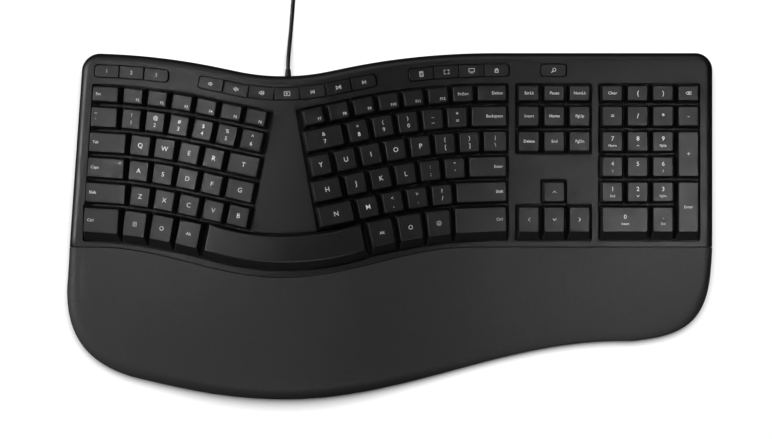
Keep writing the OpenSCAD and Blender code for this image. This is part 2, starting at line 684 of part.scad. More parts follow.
pocket_x = tilt_w / 2 + pocket_gap;
pocket_front = tilt_t / 2 + pocket_gap;
pocket_rear = tilt_l + pocket_gap;
stand_r = 2.5;
board_stands = [for (x = [-1, 1]) for (y = [-1, 1])
    [board_at.x + x * (board_size.x / 2 - stand_r), board_at.y + y * (board_size.y / 2 - stand_r)]];
recess_top = foot_h + head_in + head_h;
module bottom_case() {
    color("#1b1c1e") difference() {
        union() {
            difference() {
                prism(body_plan(0), foot_h, part_z);
                prism(body_plan(wall_t), floor_z, part_z + 1);
            }
            for (y = rib_y) intersection() {
                under_deck(floor_z - floor_t / 2, bed_bottom);
                prism(bed_plan, 0, tall);
                translate([-right_edge, y - rib_t / 2, 0]) cube([body_w, rib_t, tall]);
            }
            for (p = concat(case_screw_at, palm_screw_at)) boss(p, floor_z - floor_t / 2, pad_top);
            for (p = board_stands) translate([p.x, p.y, floor_z - floor_t / 2])
                cylinder(r = stand_r, h = board_z - floor_z + floor_t / 2, $fn = 24);
            for (x = tilt_at)
                translate([x - pocket_x - pocket_wall, tilt_y - pocket_front - pocket_wall, foot_h])
                    cube([2 * (pocket_x + pocket_wall), pocket_front + pocket_rear + 2 * pocket_wall,
                        pocket_top + pocket_wall - foot_h]);
        }
        for (p = concat(case_screw_at, palm_screw_at)) {
            screw_hole(p, foot_h - 1, recess_top, head_r + head_clear);
            screw_hole(p, foot_h, pad_top + 1, screw_r + shank_clear);
        }
        for (x = tilt_at) {
            translate([x - pocket_x, tilt_y - pocket_front, foot_h - 1])
                cube([2 * pocket_x, pocket_front + pocket_rear, pocket_top - foot_h + 1]);
            translate([x, tilt_y, tilt_z]) cross_rod(pivot_r + pivot_clear, 2 * (pocket_x + pocket_wall + 1));
        }
        at_exit(exit_y + 1) cylinder(r = relief_hole, h = wall_t + 2, $fn = 32);
        at_exit(rib_y[0] + rib_t) cylinder(r = cord_d / 2 + 0.5, h = 2 * rib_t, $fn = 24);
    }
}

// The base fits the hollow of the cushion
cushion_steps = [0, 0.08, 0.25, 0.55, 1];
inner_steps = [0, 0.5, 1];
cushion_inner = [0.3, 0.65];
inner_rows = [0.5];
module palm_hollow(wall, low) {
    skin_solid(palm_grid(wall, seam_gap / 2 + wall, wall, inner_steps, inner_rows), low, -1);
}
module palm_rest_cushion() {
    color("#2c2d30") difference() {
        skin_solid(palm_grid(0, seam_gap / 2, 0, cushion_steps, cushion_inner), part_z, -1);
        palm_hollow(pad_t, floor_z);
    }
}
module palm_rest_base() {
    color("#202124") difference() {
        union() {
            difference() {
                palm_hollow(pad_t, floor_z);
                palm_hollow(pad_t + base_t, floor_z - 4 * lap);
            }
            for (p = palm_screw_at) boss(p, pad_top, palm_z(p, 2 * rim_r) - pad_t - base_t / 2);
        }
        for (p = palm_screw_at) screw_hole(p, pad_top - 1, pad_top + palm_bite, screw_r + bite_clear);
    }
}

rim_w = 1.6;
hole_w = stem_w + 2 * stem_clear;
module stem_passage() {
    translate([-hole_w / 2, -hole_w / 2, -sheet_drop]) cube([hole_w, hole_w, sheet_drop]);
}
module stem_passages() {
    for (k = keys) on_deck(k[1]) for (p = stems(k[2], k[3])) translate(p) stem_passage();
    for (k = hot_keys) on_deck(k[1]) stem_passage();
    for (a = space_stems) at_space_stem(a) stem_passage();
}
module key_plate() {
    color("#34363a") difference() {
        union() {
            intersection() {
                band(plate_drop, plate_drop + plate_t);
                prism(bed_plan, 0, tall);
            }
            intersection() {
                band(plate_drop + plate_t / 2, sheet_drop);
                difference() {
                    prism(bed_plan, 0, tall);
                    prism(deck_plan(bed_inset + rim_w, bed_front + rim_w), -1, tall + 1);
                }
            }
        }
        stem_passages();
        boss_passages();
    }
}

dome_r = 3.6;
dome_top_r = 2.2;
dome_root = 0.2;
module dome() {
    translate([0, 0, -sheet_drop - dome_root])
        cylinder(r1 = dome_r, r2 = dome_top_r, h = dome_h + dome_root, $fn = 24);
}
module dome_sheet() {
    color("#c9c7bf") union() {
        bed_layer(sheet_drop, sheet_t);
        for (k = keys) on_deck(k[1]) dome();
        for (k = hot_keys) on_deck(k[1]) dome();
        for (a = space_stems) at_space_stem(a) dome();
    }
}
module membrane() {
    color("#b9c3c6") bed_layer(sheet_drop + sheet_t, membrane_t);
}
module back_plate() {
    color("#8d9296") bed_layer(sheet_drop + sheet_t + membrane_t, back_t);
}

socket = [9, 6, 4.5];
chip = [9, 9, 2.2];
chip_off = 16;
board_middle = board_z + board_size.z / 2;
board_rear = board_at.y + board_size.y / 2;
module controller_board() {
    color("#1f5a3a") union() {
        translate([board_at.x - board_size.x / 2, board_at.y - board_size.y / 2, board_z]) cube(board_size);
        translate([board_at.x - socket.x / 2, board_rear - socket.y, board_middle]) cube(socket);
        translate([board_at.x - chip_off, board_at.y - chip.y / 2, board_middle]) cube(chip);
    }
}

slot_w = 0.8;
slot_l = 1.2 * head_r;
shank_from = foot_h + head_in + head_h / 2 + 0.3;
module screw(at, bite) {
    translate([at.x, at.y, foot_h + head_in]) {
        difference() {
            cylinder(r = head_r, h = head_h, $fn = 32);
            translate([-slot_l / 2, -slot_w / 2, -eps]) cube([slot_l, slot_w, head_h / 2]);
            translate([-slot_w / 2, -slot_l / 2, -eps]) cube([slot_w, slot_l, head_h / 2]);
        }
        translate([0, 0, head_h / 2]) cylinder(r = screw_r, h = pad_top + bite - shank_from, $fn = 32);
    }
}
module case_screws() {
    color("#9a9da1") {
        for (p = case_screw_at) screw(p, screw_bite);
        for (p = palm_screw_at) screw(p, palm_bite);
    }
}
module rubber_feet() {
    color("#111214") for (p = rubber_at) translate([p.x, p.y, 0]) {
        cylinder(r1 = rubber_r - 0.5, r2 = rubber_r, h = foot_h / 2, $fn = 48);
        translate([0, 0, foot_h / 2]) cylinder(r = rubber_r, h = foot_h / 2, $fn = 48);
    }
}

module cross_rod(r, length) {
    rotate([0, 90, 0]) cylinder(r = r, h = length, center = true, $fn = 32);
}
pin_l = tilt_w + 2 * (pocket_gap + pocket_wall) - 0.4;
module tilt_foot(x) {
    color("#1d1e20") translate([x, tilt_y, tilt_z]) union() {
        cross_rod(tilt_t / 2, tilt_w);
        cross_rod(pivot_r, pin_l);
        translate([-tilt_w / 2, 0, -tilt_t / 2]) cube([tilt_w, tilt_l, tilt_t]);
    }
}
module tilt_foot_left() { tilt_foot(tilt_at[0]); }
module tilt_foot_right() { tilt_foot(tilt_at[1]); }

flange_r = 4.2;
flange_t = 1.5;
relief_tip = cord_d / 2 + 0.4;
module strain_relief() {
    inside = exit_y - wall_t;
    color("#161719") union() {
        at_exit(inside) cylinder(r = flange_r, h = flange_t, $fn = 32);
        at_exit(exit_y) cylinder(r = relief_r, h = wall_t + flange_t / 2, $fn = 32);
        at_exit(exit_y + relief_out) cylinder(r1 = relief_tip, r2 = relief_r, h = relief_out, $fn = 32);
        at_exit(inside) cylinder(r = cord_d / 2, h = inside - board_rear, $fn = 24);
    }
}

// Tube swept along a path of points, with flat ends
function path_turn(path, i) =
    let (last = len(path) - 1, t = path[min(i + 1, last)] - path[max(i - 1, 0)]) t / norm(t);
module tube(path, r, sides) {
    last = len(path) - 1;
    points = [for (i = [0 : last])
        let (t = path_turn(path, i), side = cross(t, [0, 0, 1]), s = side / norm(side), up = cross(s, t))
        for (k = [0 : sides - 1]) path[i] + r * (cos(360 * k / sides) * s + sin(360 * k / sides) * up)];
    faces = concat(
        [for (i = [0 : last - 1]) for (k = [0 : sides - 1])
            [i * sides + k, i * sides + (k + 1) % sides, (i + 1) * sides + k]],
        [for (i = [0 : last - 1]) for (k = [0 : sides - 1])
            [i * sides + (k + 1) % sides, (i + 1) * sides + (k + 1) % sides, (i + 1) * sides + k]],
        [[for (k = [sides - 1 : -1 : 0]) k]],
        [[for (k = [0 : sides - 1]) last * sides + k]]
    );
    polyhedron(points, faces);
}
// Route of the cord from the strain relief to the coil
coil_z = 2.6;
coil_start = [-72, 204, coil_z];
coil_join = coil_start - [0, cord_d, 0];
route = [
    [exit_x, exit_y + relief_out, exit_z], [exit_x, 123, exit_z], [-76.8, 129, 7.7], [-76.3, 136, 5.7],
    [-75.8, 143, 3.6], [-75.2, 150, 2.2], [-74.6, 158, 1.7], [-74, 166, 1.6], [-73.4, 174, 1.6],
    [-72.8, 182, 1.9], [-72.2, 190, 2.4], [coil_start.x, 197, coil_z], coil_join
];
module cord_lead() {
    color("#141517") tube(route, cord_d / 2, 8);
}

// Coil: turns spiral in and out, layer on layer, and climb where the spiral reverses
coil_step = cord_d + coil_gap;
coil_out_r = coil_in_r + layer_turns * coil_step;
coil_c = [coil_start.x + coil_out_r, coil_start.y];
turn_rings = 24;
layer_angle = 360 * layer_turns;
climb_angle = 180;
last_extra = 270;
coil_angle = layers * layer_angle + (layers - 1) * climb_angle + last_extra;
function coil_point(phi) =
    let (
        lap = layer_angle + climb_angle,
        layer = min(floor(phi / lap), layers - 1),
        f = phi - layer * lap,
        inward = layer % 2 == 0,
        climbing = f > layer_angle && layer < layers - 1,
        g = f - layer_angle,
        bulge = coil_step / 360 * (g - g * g / climb_angle),
        r = climbing ? (inward ? coil_in_r - bulge : coil_out_r + bulge)
            : inward ? coil_out_r - coil_step * f / 360
            : coil_in_r + coil_step * f / 360,
        level = layer + (climbing ? (1 - cos(g)) / 2 : 0)
    )
    [coil_c.x + r * cos(180 - phi), coil_c.y + r * sin(180 - phi), coil_z + level * coil_step];
coil_rings = round(coil_angle / 360 * turn_rings);
coil_turns = [for (i = [1 : coil_rings]) coil_point(coil_angle * i / coil_rings)];
coil_end = coil_point(coil_angle);
plug_z = 4.2;
plug_x = coil_end.x + 52;
tail = [for (p = [[9, 0], [17, 0.13], [25, 0.42], [33, 0.75], [41, 0.95], [48, 1], [52, 1]])
    [coil_end.x + p.x, coil_end.y, lerp(coil_end.z, plug_z, p.y)]];
coil_path = concat([coil_join, coil_start], coil_turns, tail);
// Least gap between points of the coil that lie more than half a turn apart
coil_self_gap = min([
    for (i = [0 : len(coil_turns) - 1])
        for (j = [i + turn_rings / 2 + 1 : len(coil_turns) - 1]) norm(coil_turns[i] - coil_turns[j])
]) - cord_d;
module cord_coil() {
    echo(coil_self_gap = coil_self_gap);
    color("#141517") tube(coil_path, cord_d / 2, 6);
}

tie_w = 8;
tie_t = 0.7;
tie_angle = 135;
tie_in = coil_in_r - coil_step / 8 - cord_d / 2 - 1.6;
tie_out = coil_out_r + 0.75 * coil_step + cord_d / 2 + 0.5;
tie_low = coil_z - cord_d / 2 - 0.2;
tie_high = coil_z + (layers - 1) * coil_step + cord_d / 2 + 0.4;
module cord_tie() {
    color("#0f1011") translate([coil_c.x, coil_c.y, 0]) rotate([0, 0, tie_angle]) difference() {
        translate([tie_in - tie_t, -tie_w / 2, tie_low - tie_t])
            cube([tie_out - tie_in + 2 * tie_t, tie_w, tie_high - tie_low + 2 * tie_t]);
        translate([tie_in, -tie_w, tie_low]) cube([tie_out - tie_in, 2 * tie_w, tie_high - tie_low]);
    }
}
plug_body_size = [26, 15.5, 8];
plug_shell_size = [12.5, 12, 4.5];
shell_wall = 0.4;
shell_back = 1;
shell_slot = [plug_shell_size.x, plug_shell_size.y - 2 * shell_wall, plug_shell_size.z / 2 - shell_wall];
// Block lying along the plug's axis from a place on it
module on_plug(x, size) {
    translate([x, coil_end.y - size.y / 2, plug_z - size.z / 2]) cube(size);
}
module plug_body() {
    color("#17181a") on_plug(plug_x, plug_body_size);
}
module plug_shell() {
    color("#b9bcc0") difference() {
        on_plug(plug_x + plug_body_size.x, plug_shell_size);
        translate([0, 0, shell_slot.z / 2]) on_plug(plug_x + plug_body_size.x + shell_back, shell_slot);
    }
}

// Space bar
space_rise = 6.5;
module ring_block(r_rear, r_front, end_in, low, high, inset, slope) {
    function rail(r, ends, z) = [for (p = ring_arc(r, ends)) [p.x, p.y, deck_z(p.x) + z]];
    n = space_steps + 1;
    points = concat(rail(r_rear, end_in, low), rail(r_rear + inset, end_in + inset, high),
        rail(r_front - slope, end_in + inset, high), rail(r_front, end_in, low));
    function quad(a, b) = [[a, b + 1, b], [a, a + 1, b + 1]];
    faces = concat(
        [for (i = [0 : n - 2]) for (k = [0 : 3]) for (f = quad(k * n + i, (k + 1) % 4 * n + i)) f],
        [[0, n, 2 * n, 3 * n], [n - 1, 4 * n - 1, 3 * n - 1, 2 * n - 1]]
    );
    polyhedron(points, faces);
}
module space_bar() {
    color("#2a2b2e") union() {
        difference() {
            ring_block(space_r, space_r + space_d, 0, -key_sink, space_rise, key_inset, space_slope);
            ring_block(space_r + key_wall, space_r + space_d - key_wall, key_wall,
                -key_sink - key_wall, space_rise - key_wall, key_inset, space_slope);
        }
        for (a = space_stems) at_space_stem(a) translate([-stem_w / 2, -stem_w / 2, -stem_foot])
            cube([stem_w, stem_w, stem_foot + space_rise - key_wall / 2]);
    }
}

// Caps lock light: a light guide through the top of its key
light_r = 0.9;
light_clear = 0.05;
caps = [for (k = keys) if (k[0] == "caps_lock_key") k][0];
light_in = key_inset + 3;
light_h = key_wall + 1;
module at_light() {
    on_deck(caps[1]) translate([caps[2] / 2 - light_in, caps[3] / 2 - light_in, 0]) children();
}
module caps_light() {
    color("#d8e6d0") at_light() translate([0, 0, key_rise - light_h])
        cylinder(r = light_r, h = light_h, $fn = 24);
}
module key_group(name) {
    color("#2a2b2e") difference() {
        for (k = keys) if (k[0] == name) key(k);
        if (name == caps[0]) at_light() cylinder(r = light_r + light_clear, h = key_rise + 1, $fn = 24);
    }
}
module hot_group(name) {
    color("#232427") for (k = hot_keys) if (k[0] == name) hot_key(k);
}

bottom_case();
top_case();
palm_rest_base();
palm_rest_cushion();
key_plate();
dome_sheet();
membrane();
back_plate();
controller_board();
case_screws();
rubber_feet();
tilt_foot_left();
tilt_foot_right();
strain_relief();
cord_lead();
cord_coil();
cord_tie();
plug_body();
plug_shell();
caps_light();
space_bar();
for (name = key_names) key_group(name);
for (name = hot_names) hot_group(name);
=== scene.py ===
import json
import math

import bmesh
import bpy
from bpy.props import FloatProperty, FloatVectorProperty, IntProperty, PointerProperty
from mathutils import Matrix, Vector


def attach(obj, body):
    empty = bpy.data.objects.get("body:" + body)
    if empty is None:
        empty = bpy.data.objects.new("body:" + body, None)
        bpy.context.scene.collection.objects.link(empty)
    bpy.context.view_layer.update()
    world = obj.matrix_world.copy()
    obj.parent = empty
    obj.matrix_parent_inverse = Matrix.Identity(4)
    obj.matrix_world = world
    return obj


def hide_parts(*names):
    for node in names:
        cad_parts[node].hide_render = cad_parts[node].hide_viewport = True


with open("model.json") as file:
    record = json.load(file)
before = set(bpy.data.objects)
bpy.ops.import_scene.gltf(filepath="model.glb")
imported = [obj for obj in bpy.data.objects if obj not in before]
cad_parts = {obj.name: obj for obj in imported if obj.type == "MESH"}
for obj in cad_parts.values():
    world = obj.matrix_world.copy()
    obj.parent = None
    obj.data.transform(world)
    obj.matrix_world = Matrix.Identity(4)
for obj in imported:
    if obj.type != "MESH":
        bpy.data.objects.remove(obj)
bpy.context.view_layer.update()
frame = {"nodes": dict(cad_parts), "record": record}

bl_info = {
    "name": "Ergonomic keyboard",
    "version": (1, 0, 0),
    "blender": (4, 5, 0),
    "location": "View3D > Sidebar > Keyboard",
    "description": "Dresses the packed frame of a keyboard with a split key layout and a padded palm rest",
    "category": "Object",
}

MM = 0.001


# Plan and height of the body, in millimetres, as the part's source gives them

BODY_W = 491
REAR_REACH = 131.7
PALM_REACH = 87.3
PALM_DIP = 44.5
PALM_SWELL = (272, 258)
PALM_LANDS = (-196, 185)
PALM_ENDS = (-50, -20)
# Handles of the palm rest's front corners, where each leaves one edge and where it meets the next
PALM_HANDLES = ((0, -38), (30, -9), (43, 4), (0, 52))
SEAM_REACH = 15.8
SEAM_DIP = 22.4
SEAM_SWING = 142
SEAM_GAP = 0.4
LEFT_LEAN = math.tan(math.radians(4.1))
LEFT_WIDEST = 48
REAR_CORNER = 13
RIM_R = 6
CREST_H = 35
CREST_X = -76
LEFT_WING = (23, 225)
RIGHT_WING = (17.5, 172)
ARC_R = 545
WING_ANGLE = math.radians(12.2)
ARC_X = (-243, 84)
VALLEY_BLEND = 15
VALLEY_X = sum(ARC_X) / 2
PART_Z = 6.5
PALM_RIM_Z = 7.5
PALM_KEEP = 0.64
PALM_EASE = 1.4
PALM_ROLL = 5
PALM_FALL = 16


def mix(a, b, t):
    """Value between a and b."""
    return a + (b - a) * t


def spaced(a, b, n):
    """n + 1 values from a to b."""
    return [mix(a, b, i / n) for i in range(n + 1)]


def round_pairs(points):
    """Each point with the next one, and the last with the first."""
    return zip(points, points[1:] + points[:1])


def clamp(v, low, high):
    """v held between two bounds."""
    return min(max(v, low), high)


def deck_z(x):
    """Height of the gull-winged deck."""
    fall, run = LEFT_WING if x < CREST_X else RIGHT_WING
    return CREST_H - fall * (1 - math.cos(math.pi * clamp(abs(x - CREST_X) / run, 0, 1))) / 2


def bell(x, width):
    """Soft hump over the split, from 1 at its middle to 0 at width."""
    return (1 + math.cos(math.pi * clamp((x - VALLEY_X) / width, -1, 1))) / 2


def arc_drop(u):
    """Fall of a row's arc at a distance u from its start."""
    end = ARC_R * math.sin(WING_ANGLE)
    if u <= 0:
        return 0
    if u < end:
        return ARC_R - math.sqrt(ARC_R * ARC_R - u * u)
    return ARC_R * (1 - math.cos(WING_ANGLE)) + (u - end) * math.tan(WING_ANGLE)


def rear_y(x):
    """Rear edge: two arcs that meet in a soft dip."""
    a, b = arc_drop(x - ARC_X[0]), arc_drop(ARC_X[1] - x)
    return REAR_REACH - min(a, b) + max(VALLEY_BLEND - abs(a - b), 0) ** 2 / (4 * VALLEY_BLEND)


def seam_y(x):
    """Seam between the deck and the palm rest."""
    return -SEAM_REACH - SEAM_DIP * bell(x, SEAM_SWING)


def front_y(x):
    """Front edge of the palm rest."""
    return -PALM_REACH - PALM_DIP * bell(x, PALM_SWELL[0] if x < VALLEY_X else PALM_SWELL[1])


def left_x(y):
    """Left side, which leans."""
    return -BODY_W / 2 + (y + LEFT_WIDEST) * LEFT_LEAN


def soft_corner(p0, d0, p3, d3, n):
    """Inner points of a corner that leaves p0 along d0 and arrives at p3 along d3."""
    p0, d0, p3, d3 = (Vector(v) for v in (p0, d0, p3, d3))
    p1, p2 = p0 + d0, p3 - d3
    return [(1 - t) ** 3 * p0 + 3 * t * (1 - t) ** 2 * p1 + 3 * t * t * (1 - t) * p2 + t ** 3 * p3
            for t in spaced(0, 1, n)[1:-1]]


def deck_edge(rear_steps=110, corner_steps=14, side_steps=12):
    """Edge of the deck from the left end of the seam round the rear to its right end."""
    right = BODY_W / 2
    low = REAR_REACH - REAR_CORNER
    start, end = left_x(low) + REAR_CORNER + 1, right - REAR_CORNER
    handle = 0.55 * REAR_CORNER
    edge = [Vector((left_x(y), y)) for y in spaced(-SEAM_REACH, low, side_steps)]
    edge += soft_corner(edge[-1], (handle * LEFT_LEAN, handle), (start, rear_y(start)), (handle, 0),
                        corner_steps)
    edge += [Vector((x, rear_y(x))) for x in spaced(start, end, rear_steps)]
    edge += soft_corner((end, REAR_REACH), (handle, 0), (right, low), (0, -handle), corner_steps)
    return edge + [Vector((right, y)) for y in spaced(low, -SEAM_REACH, side_steps)]


def palm_edge(front_steps=96, corner_steps=24, side_steps=6):
    """Edge of the palm rest from the left end of the seam round the front to its right end."""
    right = BODY_W / 2
    left_land, right_land = ((x, front_y(x)) for x in PALM_LANDS)
    left_end, right_end = (-right, PALM_ENDS[0]), (right, PALM_ENDS[1])
    leave_left, meet_left, leave_right, meet_right = PALM_HANDLES
    edge = [Vector((left_x(y) if y > -LEFT_WIDEST else -right, y))
            for y in spaced(-SEAM_REACH, PALM_ENDS[0], side_steps)]
    edge += soft_corner(left_end, leave_left, left_land, meet_left, corner_steps)
    edge += [Vector((x, front_y(x))) for x in spaced(*PALM_LANDS, front_steps)]
    edge += soft_corner(right_land, leave_right, right_end, meet_right, corner_steps)
    return edge + [Vector(right_end), Vector((right, -SEAM_REACH))]


def edge_normals(edge, way):
    """Outward direction at each point of an edge that runs round the given way."""
    chords = [(b - a).normalized() for a, b in zip(edge, edge[2:])]
    return [Vector((-1, 0)), *(way * Vector((-c.y, c.x)) for c in chords), Vector((1, 0))]


def rolled(t, depth):
    """Drop of a rolled rim at a share t of its width, and none past it."""
    return depth * (1 - math.sqrt(max(1 - (1 - min(t, 1)) ** 2, 0)))


def palm_z(x, y, d):
    """Height of the palm rest's cover at a point d inside its edge."""
    q = clamp((seam_y(x) - y) / (seam_y(x) - front_y(x)), 0, 1)
    base = deck_z(x) * mix(1, PALM_KEEP, q ** PALM_EASE)
    roll = RIM_R + PALM_ROLL * q
    depth = min(base - PALM_RIM_Z, RIM_R + PALM_FALL * q)
    return base - rolled(d / roll, depth)


# Sizes and colours that a user would change

def distance(name, description, default, low, high):
    """Length that a user would change, given in millimetres."""
    return FloatProperty(name=name, description=description, unit="LENGTH",
                         default=default * MM, min=low * MM, max=high * MM)


def colour(name, description, *default):
    """Colour that a user would change."""
    return FloatVectorProperty(name=name, description=description, subtype="COLOR", size=3,
                               default=default, min=0, max=1)


class KeyboardSizes(bpy.types.PropertyGroup):
    """Sizes of the dressed pieces and the camera"""

    key_edge: distance("Key edge", "Radius of the edge round a key's top", 0.35, 0.1, 1.2)
    key_corner: distance("Key corner", "Radius of a key's upright corners", 1.1, 0.2, 1.6)
    hot_edge: distance("Hot key edge", "Radius of the edge round a hot key's top", 0.35, 0.1, 0.5)
    well_lip: distance("Well lip", "Radius of the lip round a key well", 0.5, 0.1, 0.8)
    well_corner: distance("Well corner", "Radius of a key well's corners in plan", 1.6, 0.2, 2)
    letter: distance("Letter size", "Type size of the letters on the keys", 5, 3, 7)
    word: distance("Word size", "Type size of the words on the keys", 3.1, 2, 4)
    ink_lift: distance("Ink lift", "Height of the printed legends over a key's top", 0.03, 0.01, 0.1)
    cord_d: distance("Cord", "Diameter of the cord", 3, 2.8, 3.2)
    pad_swell: distance("Pad swell", "Most that the padding swells under its cover", 1.0, 0, 4)
    camera_height: distance("Camera height", "Height of the camera over the desk", 1300, 500, 3000)
    camera_lens: FloatProperty(
        name="Lens", description="Focal length of the camera in millimetres", default=79.05, min=35, max=135)
    cord_sides: IntProperty(
        name="Cord sides", description="Resolution of the cord's round section", default=4, min=2, max=8)


class KeyboardColours(bpy.types.PropertyGroup):
    """Colours of the finishes"""

    case: colour("Case", "Moulded plastic of the case", 0.007, 0.007, 0.0075)
    keys: colour("Keys", "Moulded plastic of the keys", 0.007, 0.007, 0.0075)
    cover: colour("Palm cover", "Grained cover of the palm rest", 0.029, 0.029, 0.030)
    ink: colour("Legends", "Printed legends", 0.95, 0.95, 0.95)
    cord: colour("Cord", "Jacket of the cord", 0.012, 0.012, 0.013)
    floor: colour("Floor", "Pale floor under the object", 0.90, 0.90, 0.90)


def sizes():
    """Sizes in use."""
    return bpy.context.scene.keyboard_sizes


def colours():
    """Colours in use."""
    return bpy.context.scene.keyboard_colours


def settle(thing, **values):
    """Thing with several of its values set."""
    for key, value in values.items():
        setattr(thing, key, value)
    return thing


def add_object(name, data):
    """New object in the scene."""
    made = bpy.data.objects.new(name, data)
    bpy.context.scene.collection.objects.link(made)
    return made


# Effects that the finishes share

def place(tree, kind, links=(), **settings):
    """New node with its settings, and its inputs linked or set."""
    made = settle(tree.nodes.new("ShaderNode" + kind), **settings)
    for key, value in dict(links).items():
        if isinstance(value, bpy.types.NodeSocket):
            tree.links.new(value, made.inputs[key])
        else:
            made.inputs[key].default_value = value
    return made


def object_place(tree):
    """Object coordinates."""
    return place(tree, "TexCoord").outputs["Object"]


def noise(tree, where, scale, detail, output="Fac", **more):
    """Noise at a place."""
    inputs = {"Vector": where, "Scale": scale, "Detail": detail, **more}
    return place(tree, "TexNoise", inputs).outputs[output]


def cells(tree, where, scale, **settings):
    """Distance in a pattern of cells."""
    inputs = {"Vector": where, "Scale": scale}
    return place(tree, "TexVoronoi", inputs, **settings).outputs["Distance"]


def combine(tree, operation, a, b, kind="Math"):
    """Two values brought together."""
    return place(tree, kind, {0: a, 1: b}, operation=operation).outputs[0]


def stretched(tree, value, low=0.3, high=0.7, **settings):
    """Mask that runs from 0 to 1 as a value goes from low to high."""
    inputs = {"Value": value, "From Min": low, "From Max": high}
    return place(tree, "MapRange", inputs, **settings).outputs[0]


def blend(tree, mask, a, b):
    """Colour that runs from a to b with a mask."""
    return place(tree, "Mix", {"Factor": mask, 6: a, 7: b}, data_type="RGBA").outputs[2]


def tint_range(tree, mask, shade, spread):
    """Colour that a mask darkens and lightens by a share."""
    low, high = ((*(c * (1 + way * spread) for c in shade), 1) for way in (-1, 1))
    return blend(tree, mask, low, high)


def grain_tree(tree, where, grain, tone):
    """Spark-eroded mould texture: fine grain, broad tone and a rub of gloss."""
    height = combine(tree, "ADD", noise(tree, where, grain, 3.0, Roughness=0.65), cells(tree, where, grain))
    broad = stretched(tree, noise(tree, where, tone, 4.0))
    rub = stretched(tree, noise(tree, where, 90.0, 5.0, Distortion=0.6), 0.35)
    return height, broad, rub


def speck_tree(tree, where, size, amount):
    """Sparse specks of dust, as a mask."""
    close = combine(tree, "LESS_THAN", cells(tree, where, size), amount)
    few = combine(tree, "GREATER_THAN", noise(tree, where, 60.0, 2.0), 0.62)
    return (combine(tree, "MULTIPLY", close, few),)


def leather_tree(tree, where, pebble):
    """Pebbled leather: cells with creases between them, a finer pore and a broad tone."""
    sway = (0.0012,) * 3
    shift = combine(tree, "MULTIPLY", noise(tree, where, 260.0, 2.0, "Color"), sway, "VectorMath")
    bent = combine(tree, "ADD", where, shift, "VectorMath")
    crease = stretched(tree, cells(tree, bent, pebble, feature="DISTANCE_TO_EDGE"), 0.0, 0.22,
                       interpolation_type="SMOOTHSTEP")
    pore = combine(tree, "MULTIPLY", noise(tree, where, 3200.0, 2.0), 0.35)
    broad = stretched(tree, noise(tree, where, 9.0, 4.0))
    return combine(tree, "ADD", crease, pore), crease, broad


# Shared groups: what makes the tree, its inputs with their defaults, and its outputs
EFFECTS = {
    "moulded_grain": (grain_tree, {"Grain Size": 2400.0, "Tone Size": 14.0}, ("Height", "Tone", "Rub")),
    "dust_specks": (speck_tree, {"Speck Size": 420.0, "Amount": 0.1}, ("Mask",)),
    "leather_grain": (leather_tree, {"Pebble Size": 560.0}, ("Height", "Crease", "Tone")),
}


def effect_group(name):
    """Shader group of a shared effect, made once."""
    known = bpy.data.node_groups.get(name)
    if known:
        return known
    make_tree, inputs, outputs = EFFECTS[name]
    group = bpy.data.node_groups.new(name, "ShaderNodeTree")
    for label, default in inputs.items():
        socket = group.interface.new_socket(label, in_out="INPUT", socket_type="NodeSocketFloat")
        socket.default_value = default
    for label in outputs:
        group.interface.new_socket(label, in_out="OUTPUT", socket_type="NodeSocketFloat")
    given = group.nodes.new("NodeGroupInput").outputs
    out = group.nodes.new("NodeGroupOutput").inputs
    results = make_tree(group, object_place(group), *(given[label] for label in inputs))
    for label, result in zip(outputs, results):
        group.links.new(result, out[label])
    return group


# Finishes

class Finish:
    """New material with its shader, and ways to dress it."""

    def __init__(self, name, rough, specular=0.5):
        self.material = bpy.data.materials.new(name)
        self.material.use_nodes = True
        self.tree = self.material.node_tree
        self.tree.nodes.clear()
        inputs = {"Roughness": rough, "Specular IOR Level": specular}
        self.shader = place(self.tree, "BsdfPrincipled", inputs)
        sink = place(self.tree, "OutputMaterial", {"Surface": self.shader.outputs[0]})
        sink.is_active_output = True

    def effect(self, name, **inputs):
        """Outputs of a shared effect."""
        return place(self.tree, "Group", inputs, node_tree=effect_group(name)).outputs

    def link(self, value, socket):
        """Feeds a socket of the shader."""
        self.tree.links.new(value, self.shader.inputs[socket])

    def tint(self, mask, shade, spread):
        """Base colour that a mask darkens and lightens by a share."""
        self.link(tint_range(self.tree, mask, shade, spread), "Base Color")

    def gloss(self, mask, low, high):
        """Roughness that runs from low to high with a mask."""
        ends = {"Value": mask, "To Min": low, "To Max": high}
        self.link(place(self.tree, "MapRange", ends).outputs[0], "Roughness")

    def bump(self, height, depth, strength):
        """Relief, its depth in millimetres."""
        relief = {"Height": height, "Distance": depth * MM, "Strength": strength}
        self.link(place(self.tree, "Bump", relief).outputs[0], "Normal")


def moulded_plastic(name, shade, rough, grain=2400.0, relief=0.02, dust=True):
    """Moulded plastic with a fine spark-eroded texture."""
    made = Finish(name, rough)
    mould = made.effect("moulded_grain", **{"Grain Size": grain})
    tone = tint_range(made.tree, mould["Tone"], shade, 0.10)
    if dust:
        dusty = (*(min(c * 1.6 + 0.004, 1) for c in shade), 1)
        tone = blend(made.tree, made.effect("dust_specks")["Mask"], tone, dusty)
    made.link(tone, "Base Color")
    made.gloss(mould["Rub"], rough - 0.04, rough + 0.05)
    made.bump(mould["Height"], relief, 0.35)
    return made.material


def toned(name, shade, rough, mask, spread, relief=0, specular=0.5):
    """Plain finish with a faintly uneven tone."""
    made = Finish(name, rough, specular)
    mould = made.effect("moulded_grain")
    made.tint(mould[mask], shade, spread)
    if relief:
        made.bump(mould["Height"], 0.01, relief)
    return made.material


def palm_leather(name, shade):
    """Soft grained cover of the palm rest."""
    made = Finish(name, 0.55, 0.45)
    grain = made.effect("leather_grain")
    made.tint(grain["Tone"], shade, 0.12)
    made.gloss(grain["Crease"], 0.72, 0.52)
    made.bump(grain["Height"], 0.06, 0.45)
    return made.material


